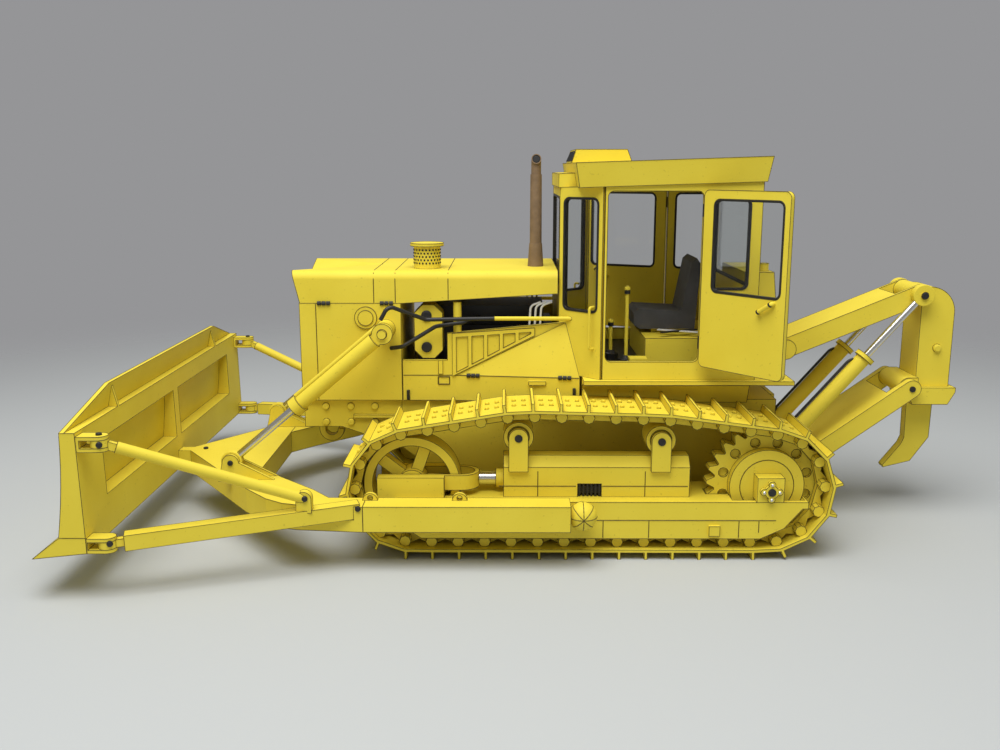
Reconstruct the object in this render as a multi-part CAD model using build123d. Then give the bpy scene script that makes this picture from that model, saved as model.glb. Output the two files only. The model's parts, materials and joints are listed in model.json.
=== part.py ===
"""Card model of a crawler bulldozer with a straight blade and a rear ripper, about 1:25.

All sizes are millimetres. X runs from the blade (-X) to the ripper (+X), Y to the machine's right, Z up.
While modelling, X = 0 lies at the sprocket axles and Z = 0 on the ground.  One side is drawn at +Y and
mirrored, and at the end every node moves so that the origin is the bottom centre of the whole.
"""
import os
from math import atan2, cos, degrees, hypot, pi, radians, sin, sqrt

from build123d import *

# Running gear
AXLE_BASE = 108.0
TRACK_GAUGE = 82.0
SHOE_WIDTH = 21.8
SHOE_COUNT = 40
RIM_RADIUS = 15.4
LINK_HEIGHT = 3.1
LINK_WAIST = 0.3875
PLATE_THICKNESS = 0.9
GROUSER_HEIGHT = 2.2
GROUSER_THICKNESS = 0.8
RAIL_OFFSET = 4.0
RAIL_WIDTH = 2.2
PIN_RADIUS = 1.75
PIN_SIDES = 8
PIN_REACH = 3.2
RUN_GAP = 0.2

CARRIER_RADIUS = 4.7
CARRIER_WIDTH = 10.0
CARRIER_FRONT = (-75.5, 36.8)
CARRIER_REAR = (-32.5, 35.8)
CARRIER_LIFT = 0.9
CARRIER_FLANGE = 1.4
CARRIER_DISH = 0.8
AXLE_BOLT_RADIUS = 1.1

ROLLER_RADIUS = 3.4
ROLLER_SIDES = 14
ROLLER_COUNT = 6
ROLLER_WIDTH = 12.4
ROLLER_AXLE_RADIUS = 1.2
ROLLER_AXLE_SIDES = 8
ROLLER_FIRST_GAP = 7.0
ROLLER_LAST_GAP = 9.0

IDLER_SPOKES = 5
IDLER_SPOKE_WIDTH = 3.6
IDLER_SPOKE_TURN = 70.0
IDLER_RIM_DEPTH = 2.6
IDLER_WIDTH = 8.0
IDLER_HUB_RADIUS = 4.4

SPROCKET_TEETH = 25
SPROCKET_WIDTH = 4.8
SPROCKET_TOOTH_DEPTH = 2.3
SPROCKET_TOOTH = ((0.0, 0.0), (0.32, SPROCKET_TOOTH_DEPTH), (0.54, SPROCKET_TOOTH_DEPTH), (0.86, 0.0))
SPROCKET_OVALS = 12
SPROCKET_OVAL_INNER = 11.6
SPROCKET_OVAL_OUTER = 14.7
SPROCKET_OVAL_WIDTH = 3.1
SPROCKET_OVAL_DEPTH = 1.2
SPROCKET_OVAL_SIDES = 10
SPROCKET_COVER_RADIUS = 11.3
FINAL_DRIVE_RADIUS = 9.4
FINAL_DRIVE_REACH = 3.0

FRAME_FRONT = -113.0
FRAME_REAR = 11.5
FRAME_TOP = 18.1
FRAME_SEAM = 12.3
FRAME_LOW = 6.6
FRAME_WALL = 2.0
FRAME_HALF = 10.5
FRAME_OUTER = TRACK_GAUGE / 2 + FRAME_HALF
GUARD_NOSE_RUN = 8.0
GUARD_TAIL_RUN = 14.0
GUARD_TAIL_DROP = 2.4
BEARING_HALF = 4.0
BEARING_CAP_RADIUS = 2.0
BEARING_CAP_THICKNESS = 1.2
BEARING_LOBE_PITCH = 2.3
BEARING_LOBES = 4
BEARING_LOBE_RADIUS = 1.0

YOKE_FRONT = -118.2
YOKE_BLOCK_REAR = -98.0
YOKE_TOP = 24.8
YOKE_LOW = 20.2
YOKE_WALL = 1.4
YOKE_BLOCK_WIDTH = 3.8
RECOIL_ROD_DIAMETER = 4.2
RECOIL_COLLAR_DIAMETER = 5.6
RECOIL_COLLAR_LENGTH = 2.4
RECOIL_FRONT = -80.0
RECOIL_REAR = -23.5
RECOIL_WIDTH = 11.0
RECOIL_LOW = FRAME_TOP
RECOIL_TOP = 30.4
RECOIL_CHAMFER = 3.0
SPRING_NOTCH_FRONT = -57.5
SPRING_NOTCH_REAR = -50.2
SPRING_NOTCH_HEIGHT = 4.2
SPRING_NOTCH_DEPTH = 3.2
SPRING_COILS = 6
SPRING_CORE = (1.2, 2.4)
SPRING_COIL = (2.6, 3.8)
CARRIER_POST_LENGTH = 5.8
CARRIER_POST_WIDTH = 1.6
CARRIER_POST_FOOT = 1.0

# Hull, bonnet and engine
HULL_TRACK_ROOM = 19.0
HULL_HALF_WIDTH = TRACK_GAUGE / 2 - HULL_TRACK_ROOM
HULL_TOP = 43.0
HULL_FLOOR = 14.5
HULL_REAR = 8.0
HULL_NOSE_LOW = 27.0
HULL_NOSE_RUN = 16.0
HULL_TAIL_FOOT = -6.0
HULL_TAIL_LOW = 30.0
FRONT_FRAME_LOW = 33.8
FRONT_FRAME_FRONT = -144.6
FRONT_FRAME_REAR = -113.0
FRONT_FRAME_STEP = 12.0
LEDGE_LOW = 37.0
LEDGE_THICKNESS = 1.0
LEDGE_WIDTH = 1.4
LEDGE_SETBACK = 16.0
BONNET_HALF_WIDTH = 23.6
BONNET_FRONT = -147.0
BONNET_REAR = -63.0
BONNET_TOP = 84.6
BONNET_LOW_FRONT = 74.4
BONNET_LOW_REAR = 77.5
BONNET_WALL = 1.4
BONNET_CORNER = 2.6
BONNET_VALLEY_REAR = -119.0
BONNET_VALLEY_DEPTH = 4.4
BONNET_LEAN = 2.4
RADIATOR_FRONT = -144.8
RADIATOR_REAR = -112.7
GRILLE_SLATS = 8
GRILLE_SLAT_HEIGHT = 1.5
GRILLE_DEPTH = 1.6
GRILLE_BORDER = 4.0
GRILLE_TOP_BORDER = 3.0
GRILLE_INSET = 0.3
FILLER_CAP = (-123.8, 69.8)
FILLER_CAP_RADIUS = 3.5
FILLER_CAP_HEIGHT = 0.5
FILLER_LID_RADIUS = 2.4
FILLER_LID_HEIGHT = 0.8
SIDE_PANEL_WALL = 1.4
SIDE_PANEL_LOW = HULL_TOP
SIDE_PANEL_STEP = 56.1
SIDE_PANEL_STEP_X = -98.0
SIDE_PANEL_REAR_TOP = 68.3
SIDE_PANEL_REAR = -55.6
FLARE_FRONT = -95.5
FLARE_SEAM = 51.2
FLARE_REAR_Y = 28.4
FLARE_TOP_Y = 24.0
VENT_FRONT = -95.2
VENT_REAR = -70.2
VENT_LOW = 52.2
VENT_TOP_FRONT = 63.6
VENT_TOP_REAR = 65.4
VENT_BAR = 1.2
VENT_RAISE = 0.5
VENT_SLOTS = 5
ENGINE_FRONT = -108.0
ENGINE_REAR = -64.0
ENGINE_HALF_WIDTH = 14.0
ENGINE_TOP = 72.0
ROCKER_HEIGHT = 6.0
ROCKER_INSET = 3.0
VALVE_BLOCK_FRONT = -108.6
VALVE_BLOCK_LENGTH = 9.0
VALVE_BLOCK_LOW = 56.4
VALVE_BLOCK_TOP = 73.6
VALVE_BLOCK_CORNER = 2.6
VALVE_BLOCK_FACE = 21.6
PRECLEANER_X = -104.8
PRECLEANER_Y = -13.5
PRECLEANER_DRUM_RADIUS = 4.3
PRECLEANER_DRUM_HEIGHT = 7.2
PRECLEANER_CAP_RADIUS = 5.4
PRECLEANER_CAP_HEIGHT = 0.9
EXHAUST_X = -69.4
EXHAUST_Y = -7.0
EXHAUST_BASE_RADIUS = 2.65
EXHAUST_RADIUS = 1.8
EXHAUST_FLARE = 7.6
EXHAUST_TOP = 119.0
EXHAUST_WALL = 0.4
EXHAUST_BEND_DROP = 2.0
EXHAUST_MOUTH_RISE = 1.0
EXHAUST_MOUTH_LEAN = 1.2
TOW_HOOK_X = -139.7
TOW_HOOK_WIDTH = 3.0
TOW_HOOK_RADIUS = 4.2
TOW_HOOK_THICKNESS = 2.0
TOW_HOOK_DROP = 6.2

# Cab
CAB_HALF_WIDTH = 34.1
CAB_FRONT = -62.5
CAB_FRONT_HALF = 22.0
CAB_QUARTER_REAR = -50.2
CAB_REAR = -2.4
CAB_FLOOR = 53.5
CAB_TOP = 110.6
CAB_WALL = 1.4
WINDOW_CUT = 5.6
CAB_FLOOR_THICKNESS = 1.6
CAB_SILL = CAB_FLOOR - CAB_FLOOR_THICKNESS
CAB_SLANT = 0.45
CAB_SEAM = 0.02
FENDER_LIP = 2.2
FENDER_LIP_THICKNESS = 1.2
FENDER_TAIL = 9.5
FENDER_LOW_HALF = 26.0
FENDER_KNEE = (28.6, 48.9)
DOOR_FRONT = -48.8
DOOR_REAR = -20.1
DOOR_LOW = 57.6
DOOR_TOP = 109.6
DOOR_LAP_FRONT = 2.0
DOOR_THICKNESS = 1.4
DOOR_GAP = 0.3
DOOR_LEFT_ANGLE = 128.0
DOOR_RIGHT_ANGLE = 25.0
DOOR_CORNER = 1.8
WINDOW_LOW = 80.0
WINDOW_TOP = 107.4
DOOR_WINDOW_REAR = 3.8
DOOR_WINDOW_FRONT = 1.9
SIDE_WINDOW_FRONT = 2.6
WINDOW_MARGIN = 3.4
WINDOW_CORNER = 2.0
GLASS_THICKNESS = 0.5
GLASS_SEAT = 0.05
QUARTER_WINDOW_LOW = 72.5
REAR_WINDOW_MARGIN = 4.4
ROOF_THICKNESS = 7.3
ROOF_RISE = 1.8
ROOF_FRONT = -57.4
ROOF_LEAN = 1.2
ROOF_HALF_WIDTH = 34.9
ROOF_REAR = -1.6
VISOR_FRONT = -63.0
VISOR_HALF = 22.6
VISOR_HEIGHT = 4.2
ROOF_BOX_FRONT = -58.6
ROOF_BOX_REAR = -39.6
ROOF_BOX_HALF = 14.0
ROOF_BOX_HEIGHT = 4.2
ROOF_BOX_LEAN = 1.4
HANDLE_LENGTH = 6.4
HANDLE_THICKNESS = 1.5
HANDLE_INSET = 3.6
HANDLE_LOW = 73.6
HINGE_HEIGHTS = (64.0, 104.0)
HINGE_RADIUS = 0.9
HINGE_LENGTH = 3.0
HINGE_SETBACK = 0.4
DOOR_LAP_LOW = 0.6
DOOR_LAP_TOP = 0.4

SEAT_FRONT = -37.0
SEAT_REAR = -15.4
SEAT_HALF = 9.0
SEAT_LOW = 64.0
SEAT_CUSHION_TOP = 70.6
SEAT_BACK_TOP = 87.4
SEAT_BACK_THICKNESS = 4.4
SEAT_BACK_FOOT = 6.0
SEAT_ROUND = 1.4
SEAT_NOSE = 2.0
SEAT_BOX_HALF = 20.0
SEAT_BOX_TOP = 62.6
SEAT_BOX_SETBACK = 2.5
SEAT_BOX_TAIL = 8.0
SEAT_RISER_FRONT = 6.0
SEAT_RISER_REAR = 2.0
SEAT_RISER_HALF = 7.0
LEVER_X = -40.4
LEVER_Y = -18.0
LEVER_TOP = 78.4
LEVER_DIAMETER = 1.2
LEVER_KNOB_RADIUS = 1.0
LEVER_SHORT_BY = 12.0
LEVER_STEP = (-4.0, 10.0)
BOOT_RADIUS = 2.0
BOOT_HEIGHT = 1.2
PEDAL_LENGTH = 5.6
PEDAL_Y = (-28.0, -23.0)
PEDAL_HEIGHT = 4.0

TANK_REAR_LOW = 10.0
TANK_REAR_TOP = 6.6
TANK_HALF = 17.0
TANK_TOP = 83.6
TANK_LOW = CAB_SILL
TANK_CAP = (4.4, -12.0)
TANK_CAP_RADIUS = 1.6
TANK_CAP_HEIGHT = 2.4

# Push frame and blade
TRUNNION_X = -56.6
TRUNNION_REACH = 5.9
TRUNNION_Y = FRAME_OUTER + TRUNNION_REACH
TRUNNION_Z = 15.8
TRUNNION_RADIUS = 4.2
TRUNNION_GAP = 0.35
TRUNNION_NECK_RADIUS = 2.5
ARM_ROOM = 1.5
ARM_WIDTH = 8.5
ARM_INNER = FRAME_OUTER + ARM_ROOM
ARM_OUTER = ARM_INNER + ARM_WIDTH
ARM_FRONT = -121.0
ARM_REAR = -60.4
ARM_EAR_X = (-93.0, -119.5)
ARM_EAR_RADIUS = 2.2
ARM_EAR_HOLE = 0.8
ARM_EAR_THICKNESS = 1.6
ARM_EAR_INSET = 1.0
PUSH_LOW = 12.2
PUSH_TOP = 19.9
NOSE_REAR = -159.3
NOSE_TIP = -189.0
NOSE_TIP_HALF = 2.5
NOSE_REAR_HALF = 44.2
BEND_POINTS = ((-150.9, 7.5), (-145.2, 3.4), (-140.6, 2.0))
DIAGONAL_INNER = ((-138.3, 45.3), (-150.8, 32.7))
DIAGONAL_REAR_Y = 22.4
KNUCKLE_STEP = 3.0
TRACK_CLEARANCE = 2.6
KNUCKLE_HALF = 2.4

BLADE_HALF = 82.0
BLADE_BACK = -193.3
BLADE_LOW = 18.0
BLADE_TOP = 47.4
BLADE_FRONT_LOW = -200.6
BLADE_FRONT_TOP = -198.0
BLADE_SKIN = 1.3
BLADE_HOLLOW = 0.6
BLADE_BACK_LEAN = 0.6
VISOR_TOP_Z = 55.0
VISOR_SETBACK = 28.5
VISOR_TOP_HALF = BLADE_HALF - VISOR_SETBACK
VISOR_LEAN = 1.7
GUSSET_SETBACK = 32.0
GUSSET_THICKNESS = 1.2
GUSSET_TOP = 53.6
EDGE_TIP = -208.3
EDGE_TIP_Z = 12.0
EDGE_BACK_Z = 13.6
PANEL_LOW = 25.0
PANEL_TOP = 41.4
PANEL_END = 17.0
PANEL_OUTER = BLADE_HALF - PANEL_END
PANEL_INNER = 2.4
CLEVIS_INSET = 2.6
CLEVIS_Y = BLADE_HALF - CLEVIS_INSET
CLEVIS_UPPER_Z = 44.2
CLEVIS_LOWER_Z = 15.6
CLEVIS_PIN_X = -188.4
CLEVIS_RADIUS = 2.4
CLEVIS_GAP = 2.2
CLEVIS_PLATE = 1.0
CLEVIS_PIN_RADIUS = 0.7
TONGUE_LENGTH = 4.4
UPPER_STRUT_DIAMETER = 3.2
UPPER_STRUT_FOOT = (-137.3, 63.8, 23.4)
LOWER_STRUT_SIZE = 4.4
LOWER_STRUT_FOOT = (-122.5, 58.4, 18.3)
STRUT_SHOE = 2.2
STRUT_SHOE_WIDTH = 2.6
FIT_GAP = 0.3

# Lift cylinders
LIFT_Y = 33.0
LIFT_UPPER = (-117.5, 66.2)
LIFT_LOWER = (-166.0, 25.4)
LIFT_BARREL_DIAMETER = 4.8
LIFT_BARREL_LENGTH = 37.0
LIFT_ROD_DIAMETER = 2.4
LIFT_ROD_HIDDEN = 14.0
LIFT_EYE_RADIUS = 3.2
LIFT_EYE_WIDTH = 2.6
LIFT_PIN_RADIUS = 0.8
LIFT_DRIFT = 1.4
LUG_THICKNESS = 1.2
LUG_RADIUS = 2.6
LUG_FRONT = 4.0
LUG_TAIL = 13.5
LUG_SINK = 0.6
LIFT_NECK = 4.2
LIFT_NECK_HEIGHT = 4.0
LIFT_BARREL_START = 3.3
LIFT_GLAND_LENGTH = 3.0
LIFT_BORE_START = 6.0
LIFT_TRUNNION_RADIUS = 1.4
LIFT_TRUNNION_END = 1.0
LIFT_BOSS_RIM = 0.6
LIFT_EYE_RIM = 0.8
LIFT_GLAND_RIM = 0.6
LIFT_PIPE_DIAMETER = 1.3
LIFT_PIPE_STAND = 0.35
ROD_END_BITE = 0.4
HOSE_DIAMETER = 1.3
HOSE_BEND = 2.4
HOSE_END = (-83.0, 25.2, 69.8)
UPPER_HOSE = ((-118.0, 33.0, 70.4), (-115.6, 32.4, 74.8), (-104.5, 27.0, 69.7), HOSE_END)
LOWER_HOSE_RUN = ((-112.0, 26.6, 61.0), (-101.5, 25.2, 67.3), (-92.0, 22.0, 68.2))
LOWER_HOSE_START = (-116.0, 60.0)
LOWER_HOSE_END = (-88.0, 68.2)
EYE_SPARE = 0.2

# Ripper
RIPPER_LOWER = (18.0, 16.8)
RIPPER_UPPER = (13.8, 57.2)
CARRIAGE_LOWER = (55.7, 44.3)
CARRIAGE_UPPER = (57.6, 75.4)
RIPPER_CYLINDER_FOOT = (12.5, 22.5)
RIPPER_CYLINDER_Y = 10.0
RIPPER_FRAME_HALF = 12.6
RIPPER_FRAME_HEIGHT = 5.8
RIPPER_FRAME_SETBACK = 7.0
RIPPER_EAR_LENGTH = 16.0
RIPPER_LINK_HEIGHT = 6.5
RIPPER_LINK_HALF = 8.5
RIPPER_LINK_SETBACK = 7.5
RIPPER_EAR = 1.15
CHEEK_THICKNESS = 1.6
CHEEK_TOP = 36.0
CHEEK_FOOT = 10.5
CHEEK_RADIUS = 3.2
MOUNT_PLATE = 1.4
COLUMN_HALF = 7.2
COLUMN_REAR = 69.7
COLUMN_FRONT = 58.7
COLUMN_LOW = 42.6
COLUMN_TOP = 77.8
COLUMN_CORNER = 8.6
COLUMN_HEAD_RADIUS = 3.2
COLUMN_FOOT_RADIUS = 3.2
COLUMN_PLATE = 1.5
COLUMN_PIN_END = 0.6
POCKET_HALF = 9.4
POCKET_LOW = 38.4
POCKET_REAR = 71.4
POCKET_SLANT = 2.3
POCKET_FRONT = 57.2
SHANK_HALF = 1.8
SHANK_TOP = (58.4, 67.2)
SHANK_SIDE = ((67.0, 25.0), (61.2, 16.5), (52.2, 14.2), (51.9, 14.9), (57.6, 22.4), (58.6, 24.8))
RIPPER_BARREL_DIAMETER = 5.0
RIPPER_BARREL_LENGTH = 43.0
RIPPER_BORE_START = 6.0
RIPPER_FLANGE_RADIUS = 3.3
RIPPER_FLANGE_LENGTH = 1.4
RIPPER_ROD_DIAMETER = 2.4
RIPPER_ROD_HIDDEN = 16.0
RIPPER_EYE_RADIUS = 3.4
RIPPER_EYE_WIDTH = 2.4
RIPPER_PIN_RADIUS = 1.2
RIPPER_DRIFT = 0.7
PIVOT_GAP = 0.15

PLATE_RADIUS = RIM_RADIUS + LINK_HEIGHT + PLATE_THICKNESS
AXLE_Z = PLATE_RADIUS + GROUSER_HEIGHT
TRACK_Y = TRACK_GAUGE / 2
PIN_LINE = RIM_RADIUS + LINK_HEIGHT / 2
IDLER_X = -AXLE_BASE


def block(x0, x1, y0, y1, z0, z1):
    """A box between two corners."""
    return Pos((x0 + x1) / 2, (y0 + y1) / 2, (z0 + z1) / 2) * Box(x1 - x0, y1 - y0, z1 - z0)


def side_slab(points, y0, y1):
    """A side outline of (x, z) points with a thickness from y0 to y1."""
    outline = Face(Wire.make_polygon([(x, y0, z) for x, z in points]))
    return extrude(outline, amount=y1 - y0, dir=(0, 1, 0))


def plan_slab(points, z0, z1):
    """A plan outline of (x, y) points with a height from z0 to z1."""
    outline = Face(Wire.make_polygon([(x, y, z0) for x, y in points]))
    return extrude(outline, amount=z1 - z0, dir=(0, 0, 1))


def end_slab(points, x0, x1):
    """An end outline of (y, z) points with a length from x0 to x1."""
    outline = Face(Wire.make_polygon([(x0, y, z) for y, z in points]))
    return extrude(outline, amount=x1 - x0, dir=(1, 0, 0))


def disc(centre, radius, y0, y1):
    """A round disc across the machine, about an (x, z) centre."""
    x, z = centre
    return Pos(x, (y0 + y1) / 2, z) * Rot(90, 0, 0) * Cylinder(radius, y1 - y0)


def ring_points(centre, radius, sides, turn=0.0):
    """Corners of a regular outline about a centre."""
    steps = [turn + 2 * pi * k / sides for k in range(sides)]
    return [(centre[0] + radius * cos(a), centre[1] + radius * sin(a)) for a in steps]


def round_bar(start, end, diameter):
    """A round bar from one point to another."""
    axis = Vector(*end) - Vector(*start)
    seat = Plane(origin=start, z_dir=axis)
    return seat * Cylinder(diameter / 2, axis.length, align=(Align.CENTER, Align.CENTER, Align.MIN))


def square_bar(start, end, size):
    """A square bar from one point to another, its sides upright."""
    axis = Vector(*end) - Vector(*start)
    seat = Plane(origin=start, x_dir=axis.cross(Vector(0, 0, 1)), z_dir=axis)
    return seat * Box(size, size, axis.length, align=(Align.CENTER, Align.CENTER, Align.MIN))


def strip(start, end, height, before=0.0, after=0.0):
    """Corners of a strip of the given height along the line between two (x, z) points."""
    length = hypot(end[0] - start[0], end[1] - start[1])
    ux, uz = (end[0] - start[0]) / length, (end[1] - start[1]) / length
    nx, nz = -uz * height / 2, ux * height / 2
    x0, z0 = start[0] - ux * before, start[1] - uz * before
    x1, z1 = end[0] + ux * after, end[1] + uz * after
    return [(x0 - nx, z0 - nz), (x1 - nx, z1 - nz), (x1 + nx, z1 + nz), (x0 + nx, z0 + nz)]


def between(start, end, distance):
    """The (x, z) point a distance along the way from one point to another."""
    length = hypot(end[0] - start[0], end[1] - start[1])
    share = distance / length
    return (start[0] + (end[0] - start[0]) * share, start[1] + (end[1] - start[1]) * share)


def at_y(point, y):
    """An (x, z) point set at a distance from the centre plane."""
    return (point[0], y, point[1])


def other_side(shape):
    """The same piece on the machine's left."""
    return mirror(shape, about=Plane.XZ)


def faceted(corners, faces):
    """A closed body of flat faces, each a run of corner numbers."""
    shell = Shell([Face(Wire.make_polygon([corners[k] for k in face])) for face in faces])
    return Solid(shell)


def belt_pins():
    """Pin centres of the track chain, evenly spaced along the belt round its wheels, as (x, z)."""
    carrier_line = CARRIER_RADIUS + LINK_HEIGHT / 2 + CARRIER_LIFT
    wheels = [
        (IDLER_X, AXLE_Z, PIN_LINE),
        (0.0, AXLE_Z, PIN_LINE),
        (*CARRIER_REAR, carrier_line),
        (*CARRIER_FRONT, carrier_line),
    ]
    leave = []
    for (x0, z0, r0), (x1, z1, r1) in zip(wheels, wheels[1:] + wheels[:1]):
        span = hypot(x1 - x0, z1 - z0)
        ux, uz = (x1 - x0) / span, (z1 - z0) / span
        lean = (r0 - r1) / span
        side = sqrt(1 - lean**2)
        leave.append(atan2(uz * lean - ux * side, ux * lean + uz * side))
    edges = []
    for k, (x, z, r) in enumerate(wheels):
        sweep_angle = degrees(leave[k] - leave[k - 1]) % 360
        edges.append(CenterArc((x, z), r, degrees(leave[k - 1]), sweep_angle))
        nx, nz, nr = wheels[(k + 1) % len(wheels)]
        out = (cos(leave[k]), sin(leave[k]))
        edges.append(Line((x + r * out[0], z + r * out[1]), (nx + nr * out[0], nz + nr * out[1])))
    belt = Wire(edges)
    pins = [belt @ (k / SHOE_COUNT) for k in range(SHOE_COUNT)]
    return [(p.X, p.Y) for p in pins]


def link_frames(pins):
    """For each link: its pin, its direction, its outward normal and its length."""
    frames = []
    for (x0, z0), (x1, z1) in zip(pins, pins[1:] + pins[:1]):
        length = hypot(x1 - x0, z1 - z0)
        ux, uz = (x1 - x0) / length, (z1 - z0) / length
        frames.append(((x0, z0), (ux, uz), (uz, -ux), length))
    return frames


PINS = belt_pins()
LINKS = link_frames(PINS)
LINK_PITCH = max(link[3] for link in LINKS)
CHORD_LINE = sqrt(PIN_LINE**2 - (LINK_PITCH / 2) ** 2)
WHEEL_RADIUS = CHORD_LINE - LINK_HEIGHT / 2 - RUN_GAP
TOOTH_RADIUS = CHORD_LINE + LINK_HEIGHT / 2 - RUN_GAP


def link_point(link, along, out):
    """A point in a link's own frame, as (x, z)."""
    (x, z), (ux, uz), (nx, nz), _ = link
    return (x + ux * along + nx * out, z + uz * along + nz * out)


def track():
    """One closed track: shoe plates with grousers, two rows of links and the pin ends."""
    plate_in = LINK_HEIGHT / 2
    plate_out = plate_in + PLATE_THICKNESS
    tip = plate_out + GROUSER_HEIGHT
    outer, inner = [], []
    for link in LINKS:
        inner.append(link_point(link, 0, plate_in))
        grouser = ((0, plate_out), (0, tip), (GROUSER_THICKNESS, tip), (GROUSER_THICKNESS, plate_out))
        for along, out in grouser:
            outer.append(link_point(link, along, out))
    near, far = TRACK_Y - SHOE_WIDTH / 2, TRACK_Y + SHOE_WIDTH / 2
    shoes = side_slab(outer, near, far) - side_slab(inner, near, far)
    rail_outer, rail_inner = [], []
    for link in LINKS:
        rail_outer.append(link_point(link, 0, plate_in))
        rail_outer.append(link_point(link, PIN_RADIUS, plate_in))
        rail_outer.append(link_point(link, link[3] / 2, LINK_WAIST))
        rail_outer.append(link_point(link, link[3] - PIN_RADIUS, plate_in))
        rail_inner.append(link_point(link, 0, -plate_in))
    chain = []
    for offset in (-RAIL_OFFSET, RAIL_OFFSET):
        low, high = TRACK_Y + offset - RAIL_WIDTH / 2, TRACK_Y + offset + RAIL_WIDTH / 2
        chain.append(side_slab(rail_outer, low, high) - side_slab(rail_inner, low, high))
    pin_start = TRACK_Y + RAIL_OFFSET + RAIL_WIDTH / 2
    for pin in PINS:
        chain.append(side_slab(ring_points(pin, PIN_RADIUS, PIN_SIDES), pin_start, pin_start + PIN_REACH))
    return shoes.fuse(*chain)


def push_trunnion():
    """The ball on the roller frame that the push arm turns about."""
    ball = Pos(TRUNNION_X, TRUNNION_Y, TRUNNION_Z) * Sphere(TRUNNION_RADIUS)
    neck = disc((TRUNNION_X, TRUNNION_Z), TRUNNION_NECK_RADIUS, FRAME_OUTER, TRUNNION_Y)
    return ball + neck


def track_frame():
    """The roller frame: guard plates each side of the rollers, one top plate and the push ball."""
    side = [
        (FRAME_FRONT, FRAME_TOP),
        (FRAME_FRONT, FRAME_SEAM),
        (FRAME_FRONT + GUARD_NOSE_RUN, FRAME_LOW),
        (FRAME_REAR - GUARD_TAIL_RUN, FRAME_LOW),
        (FRAME_REAR - GUARD_TAIL_RUN / 2, FRAME_SEAM - GUARD_TAIL_DROP),
        (FRAME_REAR, FRAME_TOP),
    ]
    inner = TRACK_Y - FRAME_HALF
    frame = side_slab(side, FRAME_OUTER - FRAME_WALL, FRAME_OUTER)
    frame += side_slab(side, inner, inner + FRAME_WALL)
    frame += block(FRAME_FRONT, FRAME_REAR, inner, FRAME_OUTER, FRAME_TOP - FRAME_WALL, FRAME_TOP)
    wheels = (
        ((0.0, AXLE_Z), TOOTH_RADIUS, SPROCKET_WIDTH / 2),
        ((IDLER_X, AXLE_Z), WHEEL_RADIUS, IDLER_WIDTH / 2),
    )
    for centre, radius, half in wheels:
        room = half + RUN_GAP
        frame -= disc(centre, radius + 2 * RUN_GAP, TRACK_Y - room, TRACK_Y + room)
    drive = (0.0, AXLE_Z)
    frame -= disc(drive, FINAL_DRIVE_RADIUS + RUN_GAP, inner - FRAME_WALL, TRACK_Y)
    frame -= disc(drive, SPROCKET_COVER_RADIUS + RUN_GAP, TRACK_Y, FRAME_OUTER - FRAME_WALL)
    return frame + push_trunnion()


def track_rollers():
    """Lower rollers that run on the links, each on an axle between the guards."""
    first, last = IDLER_X + WHEEL_RADIUS + ROLLER_FIRST_GAP, -WHEEL_RADIUS - ROLLER_LAST_GAP
    step = (last - first) / (ROLLER_COUNT - 1)
    centre_z = AXLE_Z - RIM_RADIUS + ROLLER_RADIUS + RUN_GAP
    half = ROLLER_WIDTH / 2
    reach = FRAME_OUTER - FRAME_WALL - TRACK_Y
    rollers = []
    for k in range(ROLLER_COUNT):
        centre = (first + step * k, centre_z)
        roller = side_slab(ring_points(centre, ROLLER_RADIUS, ROLLER_SIDES), TRACK_Y - half, TRACK_Y + half)
        axle_end = ring_points(centre, ROLLER_AXLE_RADIUS, ROLLER_AXLE_SIDES)
        axle = side_slab(axle_end, TRACK_Y - reach, TRACK_Y + reach)
        rollers.append(roller + axle)
    return Compound(children=rollers)


def carrier_rollers():
    """Upper rollers, dished at the outside."""
    half = CARRIER_WIDTH / 2
    face = TRACK_Y + half
    rollers = []
    for centre in (CARRIER_FRONT, CARRIER_REAR):
        roller = disc(centre, CARRIER_RADIUS - RUN_GAP, TRACK_Y - half, face)
        roller -= disc(centre, CARRIER_RADIUS - CARRIER_FLANGE, face - CARRIER_DISH, face)
        rollers.append(roller)
    return Compound(children=rollers)


def idler():
    """Front wheel with a broad rim and spokes."""
    centre = (IDLER_X, AXLE_Z)
    half = IDLER_WIDTH / 2
    rim = disc(centre, WHEEL_RADIUS, TRACK_Y - half, TRACK_Y + half)
    rim -= disc(centre, WHEEL_RADIUS - IDLER_RIM_DEPTH, TRACK_Y - half, TRACK_Y + half)
    spokes = []
    reach = WHEEL_RADIUS - IDLER_RIM_DEPTH / 2
    for end in ring_points(centre, reach, IDLER_SPOKES, radians(IDLER_SPOKE_TURN)):
        spoke = strip(centre, end, IDLER_SPOKE_WIDTH)
        spokes.append(side_slab(spoke, TRACK_Y - half / 2, TRACK_Y + half / 2))
    hub = disc(centre, IDLER_HUB_RADIUS, TRACK_Y - half, TRACK_Y + half)
    return rim.fuse(hub, *spokes)


def yoke_inside():
    """Half the room inside the yoke, across the idler."""
    return IDLER_WIDTH / 2 + RUN_GAP


def yoke_bend():
    """Where the yoke's strap starts to bend, just behind the idler's rim."""
    return IDLER_X + WHEEL_RADIUS + RUN_GAP


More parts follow.
